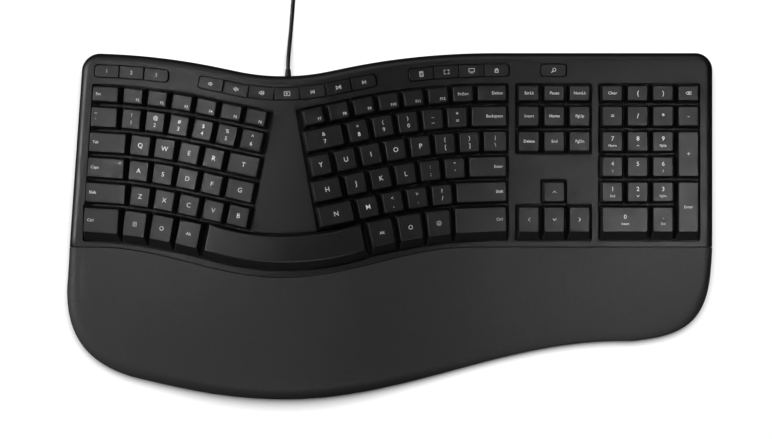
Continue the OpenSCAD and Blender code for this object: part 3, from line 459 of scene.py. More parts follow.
def brushed_metal(name, shade, rough):
    """Rolled metal with fine lines along its length."""
    made = Finish(name, rough)
    made.shader.inputs["Metallic"].default_value = 1.0
    along = {"Vector": object_place(made.tree), "Scale": (120.0, 4000.0, 4000.0)}
    lines = noise(made.tree, place(made.tree, "Mapping", along).outputs[0], 1.0, 3.0)
    made.tint(lines, shade, 0.08)
    made.gloss(lines, rough - 0.08, rough + 0.1)
    made.bump(lines, 0.01, 0.2)
    return made.material


def printed_circuit(name, shade, trace):
    """Film or board with printed lines."""
    made = Finish(name, 0.4)
    edge = cells(made.tree, object_place(made.tree), 160.0, feature="DISTANCE_TO_EDGE",
                 voronoi_dimensions="2D")
    line = combine(made.tree, "LESS_THAN", edge, 0.06)
    made.link(blend(made.tree, line, (*shade, 1), (*trace, 1)), "Base Color")
    made.gloss(line, 0.45, 0.3)
    return made.material


FINISHES = {}


def make_finishes():
    """One material for each slot of the record, and the ink of the legends."""
    c = colours()
    # Colour, roughness, grain, relief in millimetres, and whether dust shows
    plastics = {
        "case_plastic": (c.case, 0.46),
        "inner_plastic": ((0.008, 0.008, 0.009), 0.6, 1500.0, 0.03),
        "key_plastic": (c.keys, 0.42, 3000.0, 0.015),
        "hot_key_plastic": (c.case, 0.44, 2600.0, 0.015),
        "dome_rubber": ((0.55, 0.54, 0.50), 0.7, 1800.0, 0.02, False),
        "foot_rubber": ((0.014, 0.014, 0.015), 0.75, 1200.0, 0.03),
        "cord_rubber": (c.cord, 0.5, 1800.0, 0.02),
    }
    metals = {
        "back_steel": ((0.46, 0.47, 0.48), 0.38),
        "screw_steel": ((0.20, 0.20, 0.21), 0.4),
        "plug_steel": ((0.62, 0.63, 0.64), 0.28),
    }
    circuits = {
        "circuit_film": ((0.48, 0.52, 0.54), (0.30, 0.31, 0.33)),
        "board": ((0.02, 0.10, 0.04), (0.30, 0.24, 0.08)),
    }
    for make, rows in ((moulded_plastic, plastics), (brushed_metal, metals), (printed_circuit, circuits)):
        FINISHES.update({name: make(name, *row) for name, row in rows.items()})
    FINISHES["palm_cover"] = palm_leather("palm_cover", c.cover)
    FINISHES["light_guide"] = toned("light_guide", (0.10, 0.11, 0.10), 0.2, "Tone", 0.2, 0.1)
    FINISHES["ink"] = toned("legend_ink", c.ink, 0.5, "Rub", 0.08, 0.2)


# Making pieces

def node_copy(name, flat=0.5):
    """Merged copy of a CAD node's mesh, its flat faces joined again."""
    bm = bmesh.new()
    bm.from_mesh(frame["nodes"][name].data)
    bmesh.ops.remove_doubles(bm, verts=bm.verts, dist=2e-6)
    if flat:
        bmesh.ops.dissolve_limit(bm, angle_limit=math.radians(flat), verts=bm.verts, edges=bm.edges)
    return bm


def finished(bm, name, finish, body, nodes=(), sharp=32.0):
    """Piece from a mesh in the making: smooth where it is round, on its body, with its finish."""
    mesh = bpy.data.meshes.new(name)
    bm.to_mesh(mesh)
    bm.free()
    mesh.polygons.foreach_set("use_smooth", [True] * len(mesh.polygons))
    mesh.set_sharp_from_angle(angle=math.radians(sharp))
    mesh.materials.append(FINISHES[finish])
    piece = add_object(name, mesh)
    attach(piece, body)
    if nodes:
        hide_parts(*nodes)
    return piece


def flat_normals(piece):
    """Keeps broad flat faces flat where they run into a rounded edge."""
    settle(piece.modifiers.new("flat_normals", "WEIGHTED_NORMAL"), keep_sharp=True, weight=90)


def round_edges(bm, edges, radius, segments):
    """Rounds some edges."""
    bmesh.ops.bevel(bm, geom=edges, offset=radius, offset_type="OFFSET", segments=segments, profile=0.5,
                    affect="EDGES", clamp_overlap=True, material=-1)


def sharp_edges(bm, angle):
    """Convex edges that turn by more than an angle."""
    limit = math.radians(angle)
    return [e for e in bm.edges if len(e.link_faces) == 2 and e.is_convex and e.calc_face_angle(0) > limit]


def body_of_node(node):
    """Body that carries a node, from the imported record."""
    for name, nodes in frame["record"]["behaviour"]["bodies"].items():
        if node in nodes:
            return name
    raise RuntimeError(f"no body carries {node}")


# Keys

# What is printed on each key, from left to right and from the rear row to the front one. A first sign
# sets the place: < left, > right, / front right, - middle, * a drawn sign. a|b stands for a over b, and
# a_b for a word or an arrow b under a.
LEGENDS = {
    "escape_key": "<Esc",
    "function_keys_left": "/F1 /F2 /F3 /F4 /F5 /F6",
    "number_keys_left": "<~|` !|1 @|2 #|3 $|4 %|5 ^|6",
    "tab_key": "<Tab",
    "upper_letter_keys_left": "Q W E R T",
    "caps_lock_key": "<Caps",
    "home_letter_keys_left": "A S D F G",
    "left_shift_key": "<Shift",
    "lower_letter_keys_left": "Z X C V B",
    "left_control_key": "<Ctrl",
    "left_system_keys": "*menu *ring",
    "left_alt_key": "-Alt",
    "function_keys_right": "/F7 /F8 /F9 /F10 /F11 /F12 -PrtScn",
    "delete_key": ">Delete",
    "number_keys_right": "&|7 *|8 (|9 )|0 _|– +|=",
    "backspace_key": ">Backspace",
    "upper_letter_keys_right": "Y U I O P {|[ }|] ||\\",
    "home_letter_keys_right": "H J K L :|; \"|'",
    "enter_key": ">Enter",
    "lower_letter_keys_right": "N M <|, >|. ?|/",
    "right_shift_key": ">Shift",
    "right_alt_key": "-Alt",
    "right_system_keys": "*ring *smile",
    "right_control_key": ">Ctrl",
    "lock_keys": "-ScrLk -Pause -NumLk",
    "navigation_keys": "-Insert -Home -PgUp -Delete -End -PgDn",
    "arrow_up_key": "*up",
    "arrow_left_key": "*left",
    "arrow_down_key": "*down",
    "arrow_right_key": "*right",
    "number_pad_operator_keys": "-Clear ( ) *back = / * -",
    "number_pad_digit_keys": "7_Home 8_up 9_PgUp 4_left 5_ 6_right 1_End 2_down 3_PgDn",
    "number_pad_plus_key": "+",
    "number_pad_enter_key": "-Enter",
    "number_pad_zero_key": "0_Insert",
    "number_pad_point_key": "._Del",
}
HOT_LEGENDS = {
    "hot_keys_left": "-1 -2 -3",
    "hot_keys_middle": "*quieter *mute *louder *show *back_skip *play *skip",
    "hot_keys_right": "*sums *clip *screen *lock *lens",
}
HOT_SCALE = 1.3
# Keys with a bar that a finger finds: the node and the key's place in it
HOMING = {"home_letter_keys_left": 3, "home_letter_keys_right": 1, "number_pad_digit_keys": 4}
HOMING_BAR = (3.6, 0.7, 0.5)


def islands(bm):
    """Separate lumps of a mesh, as lists of faces."""
    left, found = set(bm.faces), []
    while left:
        lump = [left.pop()]
        for face in lump:
            near = [f for e in face.edges for f in e.link_faces if f in left]
            left.difference_update(near)
            lump += dict.fromkeys(near)
        found.append(lump)
    return found


# Least upward part of a top's normal, and when two faces lie in one plane
TOP_UP = 0.85
SAME_WAY = 0.9999
SAME_LEVEL = 0.01 * MM


def top_faces(faces):
    """Faces of a key's top: the highest one that looks up, and those in its plane."""
    up = [f for f in faces if f.normal.z > TOP_UP]
    high = max(up, key=lambda f: f.calc_center_median().dot(f.normal))
    level = high.verts[0].co.dot(high.normal)
    return [f for f in up if f.normal.dot(high.normal) > SAME_WAY
            and abs(f.verts[0].co.dot(high.normal) - level) < SAME_LEVEL]


def rim_edges(faces):
    """Edges that have one of the faces on one side only."""
    return [e for f in faces for e in f.edges if sum(near in faces for near in e.link_faces) == 1]


class KeyTop:
    """Place of a key's top: its middle, its axes and its size."""

    def __init__(self, faces):
        self.normal = faces[0].normal.copy()
        rim = rim_edges(faces)
        flat = max(rim, key=lambda e: abs((e.verts[1].co - e.verts[0].co).normalized().x)
                   * min(e.calc_length(), 4 * MM))
        along = (flat.verts[1].co - flat.verts[0].co).normalized()
        self.along = along if along.x > 0 else -along
        self.up = self.normal.cross(self.along)
        points = [v.co for e in rim for v in e.verts]
        xs = [p.dot(self.along) for p in points]
        ys = [p.dot(self.up) for p in points]
        self.w, self.d = max(xs) - min(xs), max(ys) - min(ys)
        self.middle = ((max(xs) + min(xs)) / 2 * self.along + (max(ys) + min(ys)) / 2 * self.up
                       + points[0].dot(self.normal) * self.normal)

    def frame(self, lift=0.0):
        """Matrix from the top's own plane to the row frame."""
        turn = Matrix((self.along, self.up, self.normal)).transposed().to_4x4()
        return Matrix.Translation(self.middle + lift * self.normal) @ turn

    def within(self, point, margin=0.0):
        """Whether a point lies over the top, inside its rim by a margin."""
        gap = point - self.middle
        return (abs(gap.dot(self.along)) < self.w / 2 - margin
                and abs(gap.dot(self.up)) < self.d / 2 - margin)

    def holds(self, face):
        """Whether a face lies in this top."""
        middle = face.calc_center_median()
        return (face.normal.dot(self.normal) > SAME_WAY and self.within(middle)
                and abs((middle - self.middle).dot(self.normal)) < SAME_LEVEL)


def reading_order(tops):
    """Tops from left to right, row by row from the rear where the rows are straight."""
    row_gap, row_step = 12 * MM, 8 * MM
    ys = sorted(t.middle.y for t in tops)
    straight = any(b - a > row_gap for a, b in zip(ys, ys[1:]))
    return sorted(tops, key=lambda t: (-round(t.middle.y / row_step) if straight else 0, t.middle.x))


def key_tops(bm):
    """Tops of all the keys of a node."""
    return reading_order([KeyTop(top_faces(lump)) for lump in islands(bm)])


def homing_bar(bm, top):
    """Raised bar near the front of a key's top."""
    bar = Matrix.Diagonal((*(v * MM for v in HOMING_BAR), 1))
    made = bmesh.ops.create_cube(bm, size=1.0)["verts"]
    at = top.frame() @ Matrix.Translation((0, -0.32 * top.d, 0.1 * MM))
    bmesh.ops.transform(bm, matrix=at @ bar, verts=made)
    round_edges(bm, list({e for v in made for e in v.link_edges}), 0.18 * MM, 2)


def build_keys(node, finish, edge, corner, bar=None):
    """Key caps of a node: rounded corners and edges on the node's own solids."""
    bm = node_copy(node)
    tops = key_tops(bm)
    if corner:
        upright = []
        for lump in islands(bm):
            faces = top_faces(lump)
            top = KeyTop(faces)
            flat = {e for f in faces for e in f.edges}
            corners = {v for f in faces for v in f.verts if not top.within(v.co, MM)}
            upright += [e for v in corners for e in v.link_edges if e not in flat]
        round_edges(bm, list(set(upright)), corner, 4)
    bm.normal_update()
    rims = []
    for top in tops:
        rim = rim_edges([f for f in bm.faces if top.holds(f)])
        rims += [e for e in rim if not all(top.within(v.co, MM) for v in e.verts)]
    round_edges(bm, list(set(rims)), edge, 3)
    if bar is not None:
        homing_bar(bm, tops[bar])
    name = node.replace("_keys", "_caps").replace("_key", "_cap")
    flat_normals(finished(bm, name, finish, body_of_node(node), [node]))
    return tops


# Legends

def type_mesh(bm, text, size, at, across="CENTER"):
    """Flat letters in a mesh, a little thickened, placed by a matrix."""
    curve = settle(bpy.data.curves.new("letters", "FONT"), body=text, size=size, align_x=across,
                   align_y="CENTER", resolution_u=3, offset=0.006 * size)
    holder = add_object("letters", curve)
    bpy.context.view_layer.update()
    mesh = bpy.data.meshes.new_from_object(holder.evaluated_get(bpy.context.evaluated_depsgraph_get()))
    before = len(bm.verts)
    bm.from_mesh(mesh)
    bm.verts.ensure_lookup_table()
    bmesh.ops.transform(bm, matrix=at, verts=bm.verts[before:])
    bpy.data.objects.remove(holder)
    bpy.data.curves.remove(curve)
    bpy.data.meshes.remove(mesh)


def stroke(bm, points, width, at, closed=False):
    """Flat line of a width through some points, in millimetres, placed by a matrix."""
    pairs = round_pairs(points) if closed else zip(points, points[1:])
    for k, (a, b) in enumerate(pairs):
        a, b = Vector((*a, 0)), Vector((*b, 0))
        along = b - a
        made = bmesh.ops.create_grid(bm, x_segments=1, y_segments=1, size=0.5)
        turn = Matrix.Rotation(math.atan2(along.y, along.x), 4, "Z")
        scale = Matrix.Diagonal((along.length + width, width, 1, 1))
        lift = Matrix.Translation((0, 0, 0.002 * (k % 4)))
        move = Matrix.Translation((a + b) / 2) @ lift @ turn @ scale
        bmesh.ops.transform(bm, matrix=at @ Matrix.Scale(MM, 4) @ move, verts=made["verts"])


# Signs drawn in lines: each line is its points in millimetres, its width, and whether it is closed

LINE = 0.32


def open_line(*points, width=LINE):
    """Line through some points."""
    return list(points), width, False


def closed_line(*points):
    """Line through some points and back to the first."""
    return list(points), LINE, True


def box_line(x0, y0, x1, y1):
    """Line round a box."""
    return closed_line((x0, y0), (x1, y0), (x1, y1), (x0, y1))


def arc_line(x, y, radius, start=0, end=360, width=LINE):
    """Line along an arc, between two angles in degrees."""
    steps = max(int((end - start) / 24), 3)
    angles = [math.radians(a) for a in spaced(start, end, steps)]
    return open_line(*((x + radius * math.cos(a), y + radius * math.sin(a)) for a in angles), width=width)


SPEAKER = closed_line((-1.3, -0.4), (-0.7, -0.4), (0, -1.0), (0, 1.0), (-0.7, 0.4), (-1.3, 0.4))
SIGNS = {
    "arrow": [open_line((-1.2, -0.6), (0, 0.6), (1.2, -0.6), width=0.4)],
    "menu": [box_line(-1.3, -1.5, 1.3, 1.5), *(open_line((-0.6, y), (0.6, y)) for y in (-0.5, 0.5))],
    "ring": [arc_line(0, 0, 1.4, width=0.45)],
    "smile": [arc_line(0, 0, 1.6), arc_line(0, 0.1, 0.85, 205, 335),
              *(open_line((x, 0.45), (x, 0.6)) for x in (-0.55, 0.55))],
    "back": [closed_line((-2.0, 0), (-0.9, 1.0), (1.8, 1.0), (1.8, -1.0), (-0.9, -1.0)),
             *(open_line((-0.2, y), (0.8, -y)) for y in (0.45, -0.45))],
    "mute": [SPEAKER, *(open_line((0.5, y), (1.4, -y)) for y in (0.5, -0.5))],
    "quieter": [SPEAKER, arc_line(0, 0, 0.8, -45, 45)],
    "louder": [SPEAKER, *(arc_line(0, 0, radius, -45, 45) for radius in (0.8, 1.45))],
    "play": [closed_line((-1.2, -0.9), (-1.2, 0.9), (0.3, 0)),
             *(open_line((x, -0.9), (x, 0.9)) for x in (0.8, 1.4))],
    "back_skip": [closed_line((0.9, -0.8), (0.9, 0.8), (-0.5, 0)), open_line((-1.0, -0.8), (-1.0, 0.8))],
    "skip": [closed_line((-0.9, -0.8), (-0.9, 0.8), (0.5, 0)), open_line((1.0, -0.8), (1.0, 0.8))],
    "show": [box_line(-1.6, -1.1, 1.6, 1.1), closed_line((-0.4, -0.45), (-0.4, 0.45), (0.4, 0))],
    "sums": [box_line(-1.0, -1.4, 1.0, 1.4), open_line((-0.5, 0.8), (0.5, 0.8), width=0.4),
             *(open_line((x - 0.05, y), (x + 0.05, y), width=0.35)
               for y in (-0.8, -0.05) for x in (-0.45, 0.45))],
    "clip": [open_line((x * 1.4, y * 0.4), (x * 1.4, y * 1.1), (x * 0.6, y * 1.1))
             for x in (-1, 1) for y in (-1, 1)],
    "screen": [box_line(-1.6, -0.7, 1.6, 1.2), open_line((-0.7, -1.3), (0.7, -1.3))],
    "lock": [box_line(-0.9, -1.2, 0.9, 0.2), arc_line(0, 0.3, 0.6, 0, 180)],
    "lens": [arc_line(0.35, 0.3, 0.9), open_line((-0.35, -0.4), (-1.3, -1.3), width=0.42)],
}
# Turn of the arrow's sign, in degrees
ARROWS = {"up": 0, "left": 90, "down": 180, "right": 270}


def icon(bm, name, at):
    """Small plain sign."""
    if name in ARROWS:
        at = at @ Matrix.Rotation(math.radians(ARROWS[name]), 4, "Z")
    for points, width, closed in SIGNS["arrow" if name in ARROWS else name]:
        stroke(bm, points, width, at, closed)


# Two signs on one key: their places in the text, shares of the letter size, and heights in millimetres
STACK = ((-3, 0.78, 2.9), (-1, 0.84, -2.6))


def print_legend(bm, top, text, scale=1.0):
    """One key's legend in its own place on the top."""
    s = sizes()
    at = top.frame(s.ink_lift)
    margin = 2.3 * MM
    left, right = -top.w / 2 + margin, top.w / 2 - margin

    def put(words, size, x=0, y=0, across="CENTER"):
        type_mesh(bm, words, size * scale, at @ Matrix.Translation((x, y, 0)), across)

    if text[-2:-1] == "|":
        x = left + margin / 2 if text[0] == "<" and len(text) == 4 else 0
        for k, share, y in STACK:
            put(text[k], share * s.letter, x, y * MM)
    elif text[1:2] == "_":
        put(text[0], 0.92 * s.letter, 0, 2.0 * MM)
        low = at @ Matrix.Translation((0, -3.2 * MM, 0))
        if text[2:] in ARROWS:
            icon(bm, text[2:], low @ Matrix.Scale(0.7, 4))
        elif text[2:]:
            type_mesh(bm, text[2:], 0.8 * s.word, low)
    elif len(text) == 1:
        put(text, s.letter)
    elif text[0] == "<":
        put(text[1:], s.word, left, 0, "LEFT")
    elif text[0] == ">":
        put(text[1:], s.word, right, 0, "RIGHT")
    elif text[0] == "/":
        put(text[1:], s.word * 0.92, top.w / 2 - 0.8 * margin, -top.d / 2 + 2.6 * MM, "RIGHT")
    elif text[0] == "*":
        icon(bm, text[1:], at @ Matrix.Scale(scale, 4))
    else:
        put(text[1:], s.word)


def print_node(node, tops, legends, scale=1.0):
    """Legends of all the keys of a node, as one thin piece that rides on them."""
    if len(tops) != len(legends):
        raise RuntimeError(f"{node}: {len(tops)} keys and {len(legends)} legends")
    bm = bmesh.new()
    for top, text in zip(tops, legends):
        print_legend(bm, top, text, scale)
    name = node.replace("_keys", "").replace("_key", "") + "_legends"
    finished(bm, name, "ink", body_of_node(node))


def build_all_keys():
    """Key caps with their legends."""
    s = sizes()
    for node, legends in LEGENDS.items():
        tops = build_keys(node, "key_plastic", s.key_edge, s.key_corner, HOMING.get(node))
        print_node(node, tops, legends.split())


def build_hot_keys():
    """Low hot keys along the rear with their signs."""
    for node, legends in HOT_LEGENDS.items():
        tops = build_keys(node, "hot_key_plastic", sizes().hot_edge, 0)
        print_node(node, tops, legends.split(), HOT_SCALE)


# Deck

def deck_openings():
    """Outlines of the openings in the deck, in millimetres, from the top case's own edges."""
    wall_up, flat_up = 0.35, 0.95
    near_deck, past_seam = 0.3, 1
    bm = node_copy("top_case", 0)
    bm.normal_update()
    near = {}
    for e in bm.edges:
        if len(e.link_faces) != 2:
            continue
        ups = [f.normal.z for f in e.link_faces]
        if min(abs(up) for up in ups) > wall_up or max(ups) < flat_up:
            continue
        ends = [v.co / MM for v in e.verts]
        if any(abs(p.z - deck_z(p.x)) > near_deck or p.y < seam_y(p.x) + past_seam for p in ends):
            continue
        for v, o in (e.verts, reversed(e.verts)):
            near.setdefault(v, []).append(o)
    loops, seen = [], set()
    for start in near:
        if start in seen:
            continue
        loop, last, now = [], None, start
        while now not in seen:
            seen.add(now)
            loop.append(Vector((now.co.x / MM, now.co.y / MM)))
            step = [v for v in near[now] if v != last and v not in seen]
            if not step:
                break
            last, now = now, step[0]
        loops.append(loop)
    bm.free()
    return [loop for loop in loops if len(loop) > 3]


def turn_at(a, b, c):
    """Turn of a line at b, in radians."""
    return abs((b - a).angle_signed(c - b, 0))


def tidy_loop(loop, corner):
    """Loop without needless points or spikes, anticlockwise, its sharp corners rounded."""
    least_step, least_turn, spike, sharp = 0.06, math.radians(0.4), math.radians(150), math.radians(25)
    corner_steps = 6
    area = sum(a.x * b.y - b.x * a.y for a, b in round_pairs(loop))
    if area < 0:
        loop = loop[::-1]
    for least, most in ((0, spike), (least_turn, math.pi)):
        loop = [p for i, p in enumerate(loop) if (p - loop[i - 1]).length > least_step]
        loop = [p for i, p in enumerate(loop)
                if least <= turn_at(loop[i - 1], p, loop[(i + 1) % len(loop)]) < most]
    found = []
    for i, p in enumerate(loop):
        before, after = loop[i - 1], loop[(i + 1) % len(loop)]
        bend = turn_at(before, p, after)
        if bend < sharp:
            found.append(p)
            continue
        u, v = (before - p).normalized(), (after - p).normalized()
        half = (math.pi - bend) / 2
        reach = min(corner / math.tan(half), 0.45 * (before - p).length, 0.45 * (after - p).length)
        middle = p + (u + v).normalized() * reach / math.cos(half)
        start, end = p + u * reach - middle, p + v * reach - middle
        sweep = start.angle_signed(end, 0)
        for k in range(corner_steps + 1):
            found.append(middle + Matrix.Rotation(-sweep * k / corner_steps, 2) @ start)
    return found


def skin_rows(bm, rows):
    """Closed skin through rows of points, each extruded from the one before; gives the last row's edges."""
    verts = [bm.verts.new(p) for p in rows[0]]
    edges = [bm.edges.new(pair) for pair in round_pairs(verts)]
    for row in rows[1:]:
        made = bmesh.ops.extrude_edge_only(bm, edges=edges)["geom"]
        fresh = {g for g in made if isinstance(g, bmesh.types.BMVert)}
        verts = [next(e.other_vert(v) for e in v.link_edges if e.other_vert(v) in fresh) for v in verts]
        for v, p in zip(verts, row):
            v.co = p
        edges = [bm.edges.get(pair) for pair in round_pairs(verts)]
    return edges


def lip_rows(loop, lip, depth):
    """Rows of an opening's wall, from its foot up and over a rounded lip, in metres."""
    chords = [(b - a).normalized() for a, b in zip(loop[-1:] + loop[:-1], loop[1:] + loop[:1])]
    out = [Vector((c.y, -c.x)) for c in chords]
    rows = [(0, -depth), (0, -lip)]
    for a in (math.radians(d) for d in (30, 60, 90)):
        rows.append((lip * (1 - math.cos(a)), -lip * (1 - math.sin(a))))
    return [[Vector((*(p + o * step), z)) * MM for p, o in zip(loop, out)] for step, z in rows]


# More than the deck's height, so that the wall's foot is cut level at the parting line
FOOT_DROP = 60
# Openings behind this line are the hot keys' wells, with lower walls and half the lip
HOT_Y = 85
WELL_DEPTH = 5.5
HOT_WELL_DEPTH = 3.2
# The deck is cut across at each of these places before it is bent
BEND_CUTS = range(-240, 99, 6)


def deck_rows():
    """Rows of the deck's rolled rim, from the foot of its wall to the flat of the deck, in metres."""
    edge = deck_edge()
    out = edge_normals(edge, 1)
    # Way in from the edge, and from the seam
    steps = ((0, 0), (0.05, 0.02), (0.2, 0.05), (0.5, 0.1), (1.0, 0.17), (1.8, 0.26), (2.8, 0.36),
             (4.2, 0.48), (RIM_R, 0.6))
    lip = 0.6
    seam_steps = 150
    rows = []
    for d, e in steps:
        row = []
        for i, (p, o) in enumerate(zip(edge, out)):
            q = p - d * o
            floor = seam_y(q.x) + SEAM_GAP / 2 + e
            y = floor if i in (0, len(edge) - 1) else max(q.y, floor)
            over = max(y - floor + e, 0)
            drop = rolled(d / RIM_R, RIM_R) + rolled(over / lip, lip)
            row.append(Vector((q.x, y, -drop)))
        right, left = row[-1].x, row[0].x
        for x in spaced(right, left, seam_steps)[1:-1]:
            y = seam_y(x) + SEAM_GAP / 2 + e
            side = min(x - left_x(y), BODY_W / 2 - x)
            drop = rolled(e / lip, lip) + rolled(max(side, 0) / RIM_R, RIM_R)
            row.append(Vector((x, y, -drop)))
        rows.append(row)
    foot = [Vector((p.x, p.y, -FOOT_DROP)) for p in rows[0]]
    return [[p * MM for p in row] for row in [foot] + rows]


def build_deck():
    """Top case: a flat plate with rolled rims and lipped openings, bent over the gull wing."""
    lip, corner = sizes().well_lip / MM, sizes().well_corner / MM
    bm = bmesh.new()
    rims = skin_rows(bm, deck_rows())
    for loop in deck_openings():
        share, depth = (0.5, HOT_WELL_DEPTH) if min(p.y for p in loop) > HOT_Y else (1, WELL_DEPTH)
        rims += skin_rows(bm, lip_rows(tidy_loop(loop, corner), share * lip, depth))
    bmesh.ops.triangle_fill(bm, use_beauty=True, use_dissolve=False, edges=rims, normal=Vector((0, 0, 1)))
    for x in BEND_CUTS:
        geom = bm.verts[:] + bm.edges[:] + bm.faces[:]
        bmesh.ops.bisect_plane(bm, geom=geom, dist=1e-7, plane_co=(x * MM, 0, 0), plane_no=(1, 0, 0))
    # The flat of the deck takes the gull wing's own normals, and the rest keeps the mesh's
    normals = []
    for v in bm.verts:
        x = v.co.x / MM
        flat = abs(v.co.z) < 1e-7
        normals.append(Vector((deck_z(x - 0.5) - deck_z(x + 0.5), 0, 1)).normalized() if flat else Vector())
        v.co.z = max(v.co.z + deck_z(x) * MM, PART_Z * MM)
    bmesh.ops.recalc_face_normals(bm, faces=bm.faces)
    piece = finished(bm, "deck_shell", "case_plastic", "case", ["top_case"])
    piece.data.normals_split_custom_set_from_vertices(normals)


# Palm rest

def seam_place(edge, i, first, last_steps, end_in):
    """Place on the seam that answers a point of the palm rest's edge."""
    last = len(edge) - 1
    left, right = edge[0].x + end_in, edge[last].x - end_in
    if i < first:
        return mix(left, max(edge[first].x, left + 1), i / first)
    if i > last - last_steps:
        return mix(right, min(edge[last - last_steps].x, right - 1), (last - i) / last_steps)
    return edge[i].x


def cushion_grid():
    """Points of the cover, in columns from the edge to the seam, in metres."""
    edge = palm_edge()
    out = edge_normals(edge, -1)
    roll = RIM_R + PALM_ROLL
    rim = (0, 0.02, 0.06, 0.13, 0.22, 0.34, 0.48, 0.64, 0.81, 1)
    inner = spaced(0, 1, 15)[1:-1]
    left_steps, right_steps = 30, 25
    grid = []
    for i, (p, o) in enumerate(zip(edge, out)):
        sx = seam_place(edge, i, left_steps, right_steps, roll + 3)
        end = Vector((sx, seam_y(sx) - SEAM_GAP / 2))
        line = [(p - t * roll * o, t * roll) for t in rim]
        line += [(line[len(rim) - 1][0].lerp(end, t), roll) for t in inner] + [(end, roll)]
        column = []
        for q, d in line:
            y = min(q.y, seam_y(q.x) - SEAM_GAP / 2)
            column.append(Vector((q.x, y, palm_z(q.x, y, d))) * MM)
        grid.append(column)
    return grid


SWELL_FRAMES = 20
SMOOTH_PASSES = 25


def swell(piece, held, most):
    """Inflates a padded piece with a short cloth simulation and holds each point within a reach."""
    start = [v.co.copy() for v in piece.data.vertices]
    group = piece.vertex_groups.new(name="held")
    for i, share in enumerate(held):
        group.add([i], share, "REPLACE")
    cloth = piece.modifiers.new("padding", "CLOTH")
    settle(cloth.settings, quality=5, use_pressure=True, uniform_pressure_force=4, vertex_group_mass="held",
           tension_stiffness=20, compression_stiffness=20, bending_stiffness=2)
    cloth.settings.effector_weights.gravity = 0
    scene = bpy.context.scene
    for number in range(1, SWELL_FRAMES + 1):
        scene.frame_set(number)
    shaped = piece.evaluated_get(bpy.context.evaluated_depsgraph_get()).data
    out = [v.normal.copy() for v in piece.data.vertices]
    rise = [clamp((v.co - p).dot(n), 0, most) for v, p, n in zip(shaped.vertices, start, out)]
    near = [[] for _ in rise]
    for e in piece.data.edges:
        a, b = e.vertices
        near[a].append(b)
        near[b].append(a)
    for _ in range(SMOOTH_PASSES):
        rise = [0 if share else sum(rise[k] for k in ks) / len(ks) for share, ks in zip(held, near)]
    for v, p, n, r in zip(piece.data.vertices, start, out, rise):
        v.co = p + r * n
    piece.modifiers.remove(cloth)
    piece.vertex_groups.remove(group)
    scene.frame_set(1)


def build_cushion():
    """Padded palm rest: its cover, drawn down at the rim and the seam and swollen between them."""
    grid = cushion_grid()
    cols, rows = len(grid), len(grid[0])
    bm = bmesh.new()
    made = bmesh.ops.create_grid(bm, x_segments=cols - 1, y_segments=rows - 1, size=1.0)["verts"]
    if len(made) != cols * rows:
        raise RuntimeError("the cover's grid has another size")
    for v in made:
        i, j = round((v.co.x + 1) / 2 * (cols - 1)), round((v.co.y + 1) / 2 * (rows - 1))
        v.co = grid[i][j]
    border = [e for e in bm.edges if e.is_boundary]
    for v in bmesh.ops.extrude_edge_only(bm, edges=border)["geom"]:
        if isinstance(v, bmesh.types.BMVert):
            v.co.z = PART_Z * MM
    bmesh.ops.remove_doubles(bm, verts=bm.verts, dist=0.01 * MM)
    bmesh.ops.holes_fill(bm, edges=[e for e in bm.edges if e.is_boundary], sides=0)
    bmesh.ops.recalc_face_normals(bm, faces=bm.faces)
    seam_hold, rim_hold = 0.6, 3.0
    held = []
    for v in bm.verts:
        gap = (seam_y(v.co.x / MM) - v.co.y / MM) - SEAM_GAP / 2
        low = v.co.z / MM - PART_Z
        held.append(1.0 if gap < seam_hold or low < rim_hold else 0.0)
    piece = finished(bm, "palm_cushion", "palm_cover", "case", ["palm_rest_cushion"], sharp=50.0)
    swell(piece, held, sizes().pad_swell)


# Pieces that keep the CAD solids' forms, with rounded edges: node, finish, radius, sharpest smooth angle

UNDERSIDE = (
    ("bottom_case", "case_plastic", 0, 30),
    ("case_screws", "screw_steel", 0.2, 30),
    ("rubber_feet", "foot_rubber", 0.5, 40),
    ("tilt_foot_left", "case_plastic", 0.5, 40),
    ("tilt_foot_right", "case_plastic", 0.5, 40),
)
CORD_ENDS = (
    ("strain_relief", "cord_rubber", 0.3, 40),
    ("cord_tie", "cord_rubber", 0.25, 40),
    ("plug_body", "cord_rubber", 1.2, 40),
    ("plug_shell", "plug_steel", 0.15, 40),
)
# Pieces that keep their CAD solids, and their finishes
INSIDE = {
    "palm_rest_base": "inner_plastic", "key_plate": "inner_plastic", "dome_sheet": "dome_rubber",
    "membrane": "circuit_film", "back_plate": "back_steel", "controller_board": "board",
    "caps_light": "light_guide",
}


def dress(node, finish, radius, smooth):
    """Merged copy of a node with its sharp edges rounded."""
    bm = node_copy(node)
    if radius:
        round_edges(bm, sharp_edges(bm, 40), radius * MM, 3)
    return finished(bm, node + "_dressed", finish, body_of_node(node), [node], sharp=smooth)


def build_underside():
    """Bottom case, screws and feet."""
    for row in UNDERSIDE:
        dress(*row)


def finish_inside():
    """Finishes of the CAD solids that are shown as they are."""
    for node, finish in INSIDE.items():
        held = frame["nodes"][node]
        for slot in held.material_slots:
            slot.material = FINISHES[finish]
        if not held.material_slots:
            held.data.materials.append(FINISHES[finish])


def build_space_bar():
    """Space bar: the node's bent bar with rounded edges."""
    under_deck = 0.5
    bm = node_copy("space_bar", 0)
    bm.normal_update()
    edges = [e for e in sharp_edges(bm, 28)
             if all(v.co.z / MM > deck_z(v.co.x / MM) - under_deck for v in e.verts)]
    round_edges(bm, edges, 2 * sizes().key_edge, 4)
    body = body_of_node("space_bar")
    flat_normals(finished(bm, "space_bar_cap", "key_plastic", body, ["space_bar"], sharp=40.0))


# Cord, in millimetres and degrees

